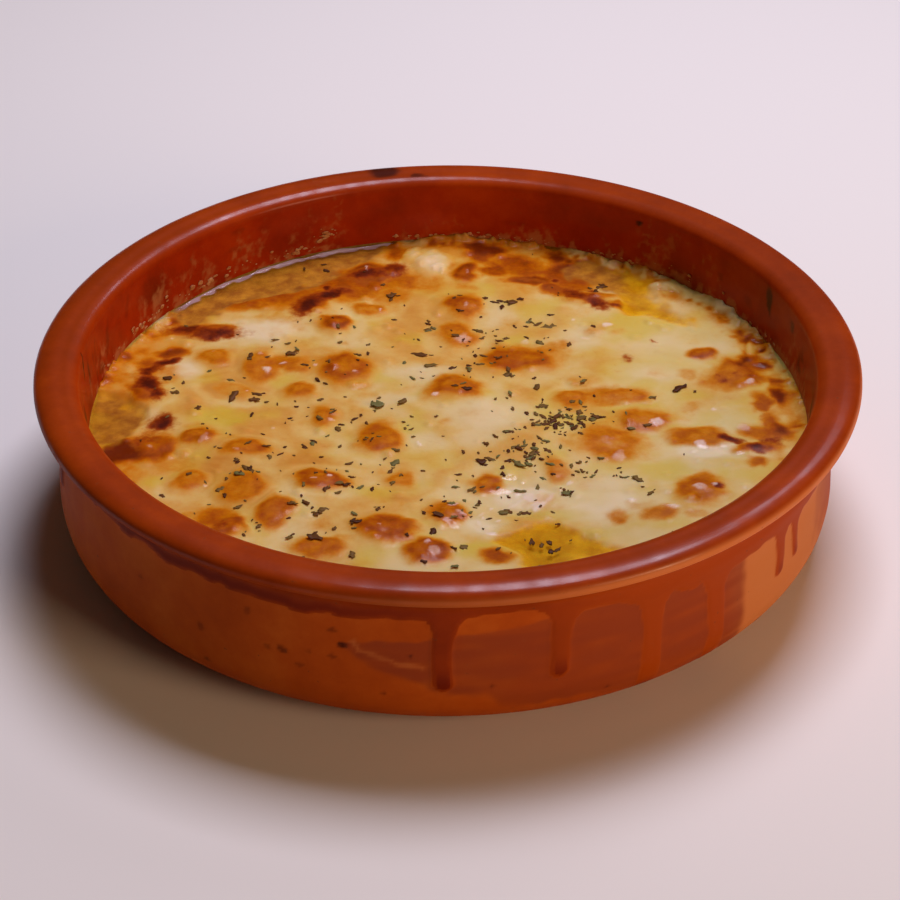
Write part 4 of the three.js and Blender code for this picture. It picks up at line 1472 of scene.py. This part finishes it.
def cooking_oil_finish():
    """Golden oil off the cheese: clear, deep yellow where it stands, with a sharp gloss and a painted
    lavender highlight along the back wall.
    """
    material, tree, surface = new_material("standing_golden_oil")
    place = add_node(tree, "ShaderNodeTexCoord").outputs["Object"]
    foam_and_painted_highlight, depth = (
        add_node(tree, "ShaderNodeAttribute", attribute_name=name).outputs["Fac"]
        for name in ("foam_and_painted_highlight", "depth")
    )
    cloud = add_node(
        tree, "ShaderNodeTexNoise", {"Vector": place, "Scale": per_metre(5), "Detail": 3.0},
    ).outputs["Fac"]
    tint = add_node(
        tree, "ShaderNodeValToRGB", {"Fac": cloud}, [(0.35, "#B87000"), (0.65, "#DCA81C")],
    ).outputs["Color"]
    # Painted highlight: pale lavender along the back wall.
    tint_with_painted_highlight = add_node(tree, "ShaderNodeMix", {0: foam_and_painted_highlight, 6: tint, 7: hex_colour("#C8A8B0")}, data_type="RGBA")
    cover = add_node(
        tree, "ShaderNodeMapRange", {"Value": depth, "To Min": 0.02, "To Max": 0.4},
        interpolation_type="SMOOTHSTEP",
    ).outputs["Result"]
    set_inputs(tree, surface, {
        "Base Color": tint_with_painted_highlight.outputs[2],
        "Alpha": roughened(tree, cover, (foam_and_painted_highlight, 0.5)),
        "Roughness": 0.06,
        "Specular IOR Level": 0.2,
        "IOR": 1.47,
    })
    return material


def dried_crumb_finish():
    """Cheese spatter dried onto the wall: tan, matt and uneven."""
    material, tree, surface = new_material("dried_cheese_spatter")
    place = add_node(tree, "ShaderNodeTexCoord").outputs["Object"]
    spots = add_node(
        tree, "ShaderNodeTexNoise", {"Vector": place, "Scale": per_metre(1.6), "Detail": 3.0},
    ).outputs["Fac"]
    tan = add_node(
        tree, "ShaderNodeValToRGB", {"Fac": spots}, [(0.3, "#A45A28"), (0.5, "#BC8454"), (0.7, "#CCA078")],
    ).outputs["Color"]
    set_inputs(tree, surface, {"Base Color": tan, "Roughness": 0.6, "Specular IOR Level": 0.3})
    return material


def dried_herb_finish():
    """Rubbed dried herb: dull leaf, from grey green to nearly black, damp with oil."""
    material, tree, surface = new_material("rubbed_dried_herb")
    place = add_node(tree, "ShaderNodeTexCoord").outputs["Object"]
    tone = add_node(tree, "ShaderNodeAttribute", attribute_name="tone").outputs["Fac"]
    vein = add_node(
        tree, "ShaderNodeTexNoise", {"Vector": place, "Scale": per_metre(0.6), "Detail": 2.0},
    ).outputs["Fac"]
    leaf = add_node(
        tree, "ShaderNodeValToRGB", {"Fac": roughened(tree, tone, (vein, 0.25))},
        [(0.1, "#46220A"), (0.5, "#664018"), (0.9, "#745A26"), (1.0, "#6C6636")],
    ).outputs["Color"]
    set_inputs(tree, surface, {"Base Color": leaf, "Roughness": 0.5, "Specular IOR Level": 0.1})
    return material


def glazed_clay_finish():
    """Red clay thrown on a wheel: dry outside, under a clear honey glaze on the rim, runs and inside."""
    material, tree, surface = new_material("honey_glazed_terracotta")
    place = add_node(tree, "ShaderNodeTexCoord").outputs["Object"]
    glaze, gloss, wash, fired, residue, scratch_and_painted_light, painted_lip_sheen, painted_lit_glaze, burnt_and_painted_shade = (
        add_node(tree, "ShaderNodeAttribute", attribute_name=name).outputs["Fac"]
        for name in ("glaze", "gloss", "wash", "fired", "residue", "scratch_and_painted_light", "painted_lip_sheen", "painted_lit_glaze", "burnt_and_painted_shade")
    )
    cloud = add_node(
        tree, "ShaderNodeTexNoise",
        {"Vector": place, "Scale": per_metre(16), "Detail": 5.0, "Roughness": 0.68},
    ).outputs["Fac"]
    speck = add_node(
        tree, "ShaderNodeTexNoise", {"Vector": place, "Scale": per_metre(1.3), "Detail": 2.0},
    ).outputs["Fac"]
    grain = add_node(
        tree, "ShaderNodeTexNoise", {"Vector": place, "Scale": per_metre(0.8), "Detail": 3.0},
    ).outputs["Fac"]
    clay, honey, inner = (
        add_node(
            tree, "ShaderNodeValToRGB", {"Fac": cloud}, list(zip((0.3, 0.5, 0.7), shades)),
        ).outputs["Color"]
        for shades in (
            ("#AC460C", "#BA5010", "#C65E18"),
            ("#842C00", "#923200", "#A03A00"),
            ("#8C2200", "#A22A00", "#B23800"),
        )
    )
    # Paler clay for the scratch, and painted light on the bare clay at the lit right side.
    scratched_and_lit_clay = add_node(tree, "ShaderNodeMix", {0: scratch_and_painted_light, 6: clay, 7: hex_colour("#CE7A40")}, data_type="RGBA")
    honeyed = add_node(tree, "ShaderNodeMix", {0: fired, 6: honey, 7: inner}, data_type="RGBA")
    # Painted light: lighter orange glaze on the lit front right.
    coat = stained(tree, honeyed.outputs[2], "#B04600", painted_lit_glaze, 0.0, 1.0, 0.8)
    # Painted sheen on the rim's face, and a bright painted highlight line along the lip's lower edge on the
    # lit side.
    coat = stained(tree, coat, "#DC7C3C", painted_lip_sheen, 0.0, 0.7)
    coat = stained(tree, coat, "#FFB078", painted_lip_sheen, 0.6, 1.0)
    colour = stained(tree, scratched_and_lit_clay.outputs[2], "#963E1A", wash, 0.0, 1.0, 0.9)
    colour = stained(tree, colour, coat, glaze, 0.05, 0.5)
    # Thick glaze darkens at the runs' ends, and at the bead under the rim, where it is also painted shade.
    colour = stained(tree, colour, "#741C00", glaze, 0.66, 1.0, 0.95)
    colour = stained(tree, colour, "#4A1808", speck, 0.72, 0.8, 0.5)
    # Burnt smears, specks and stains, with the painted shade at the foot and on the rim at the back right.
    colour = stained(tree, colour, "#2A0803", burnt_and_painted_shade, 0.0, 1.0, 0.9)
    colour = stained(tree, colour, "#BA7C4C", roughened(tree, residue, (speck, 1.0)), 0.6, 1.5, 0.6)
    roughness = add_node(
        tree, "ShaderNodeMapRange",
        {"Value": gloss, "From Min": 0.05, "From Max": 0.9, "To Min": 0.6, "To Max": 0.35},
        interpolation_type="SMOOTHSTEP",
    ).outputs["Result"]
    bump = add_node(tree, "ShaderNodeBump", {"Height": grain, "Strength": 0.2, "Distance": 0.1 * MM})
    set_inputs(tree, surface, {
        "Base Color": colour,
        "Roughness": roughness,
        "IOR": 1.5,
        "Specular IOR Level": 0.05,
        "Coat Weight": gloss,
        "Coat Roughness": 0.2,
        "Coat IOR": 1.5,
        "Normal": bump.outputs["Normal"],
    })
    return material


def studio_floor():
    """A plain pale floor that runs out of the view."""
    reach = 3000
    points = [(-reach, -reach, 0), (reach, -reach, 0), (reach, reach, 0), (-reach, reach, 0)]
    floor = new_mesh("studio_floor", points, [(0, 1, 2, 3)])
    material, tree, surface = new_material("matt_pale_paper")
    set_inputs(tree, surface, {"Base Color": hex_colour("#E8E4DC"), "Roughness": 0.9})
    floor.data.materials.append(material)


def soft_light(name, place, size, power, code):
    """A square soft light in millimetres, aimed at the dish."""
    data = bpy.data.lights.new(name, "AREA")
    data.size = size * MM
    data.energy = power
    data.color = hex_colour(code)[:3]
    lamp = bpy.data.objects.new(name, data)
    lamp.location = Vector(place) * MM
    towards_dish = Vector((0, 0, CHEESE_LEVEL)) * MM - lamp.location
    lamp.rotation_euler = towards_dish.to_track_quat("-Z", "Y").to_euler()
    bpy.context.scene.collection.objects.link(lamp)


def studio_lights():
    """A cool soft light overhead, a window behind, a warm light from the right and a low even sky."""
    soft_light("overhead_softbox", (100, 230, 640), 300, 4.3, "#EEE9FF")
    soft_light("back_window", (260, 450, 480), 140, 0.35, "#F4E8FF")
    soft_light("warm_side_panel", (560, -480, 280), 300, 2.5, "#FFD6AE")
    sky = bpy.data.worlds.new("even_sky")
    sky.use_nodes = True
    background = sky.node_tree.nodes["Background"]
    set_inputs(sky.node_tree, background, {"Color": hex_colour("#FFE2C4"), "Strength": 0.03})
    bpy.context.scene.world = sky


def photo_camera():
    """The photo's viewpoint: an arm's length away, looking down at the dish."""
    elevation = math.radians(33.58)
    distance = 480
    aim = Vector((0.344, 0, 11.06))
    roll = math.radians(-0.259)
    data = bpy.data.cameras.new("photo_camera")
    data.lens = 96.15
    data.sensor_width = 36
    camera = bpy.data.objects.new("photo_camera", data)
    back = Vector((0, -math.cos(elevation), math.sin(elevation)))
    camera.location = (aim + back * distance) * MM
    camera.rotation_mode = "QUATERNION"
    camera.rotation_quaternion = (-back).to_track_quat("-Z", "Y") @ Quaternion((0, 0, 1), roll)
    bpy.context.scene.collection.objects.link(camera)
    bpy.context.scene.camera = camera


def finish_piece(piece, material, slot, *nodes):
    """Gives a piece its material, puts it on the dish's body and hides the parts of the model that it
    replaces.
    """
    piece.data.materials.append(material)
    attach(piece, "root")
    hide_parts(*nodes)


photo_camera()
studio_floor()
studio_lights()
bpy.context.scene.view_settings.view_transform = "Standard"

finish_piece(dish_piece(), glazed_clay_finish(), "glazed_clay", "dish")
finish_piece(cheese_piece(), melted_cheese_finish(), "baked_cheese", "provolone")
finish_piece(herb_piece(), dried_herb_finish(), "baked_cheese", "provolone")
finish_piece(wall_crumbs(), dried_crumb_finish(), "baked_cheese", "provolone")
oil = cooking_oil_finish()
for node, corners in OIL_POOLS.items():
    finish_piece(oil_piece(node, corners), oil, "cooking_oil", node)
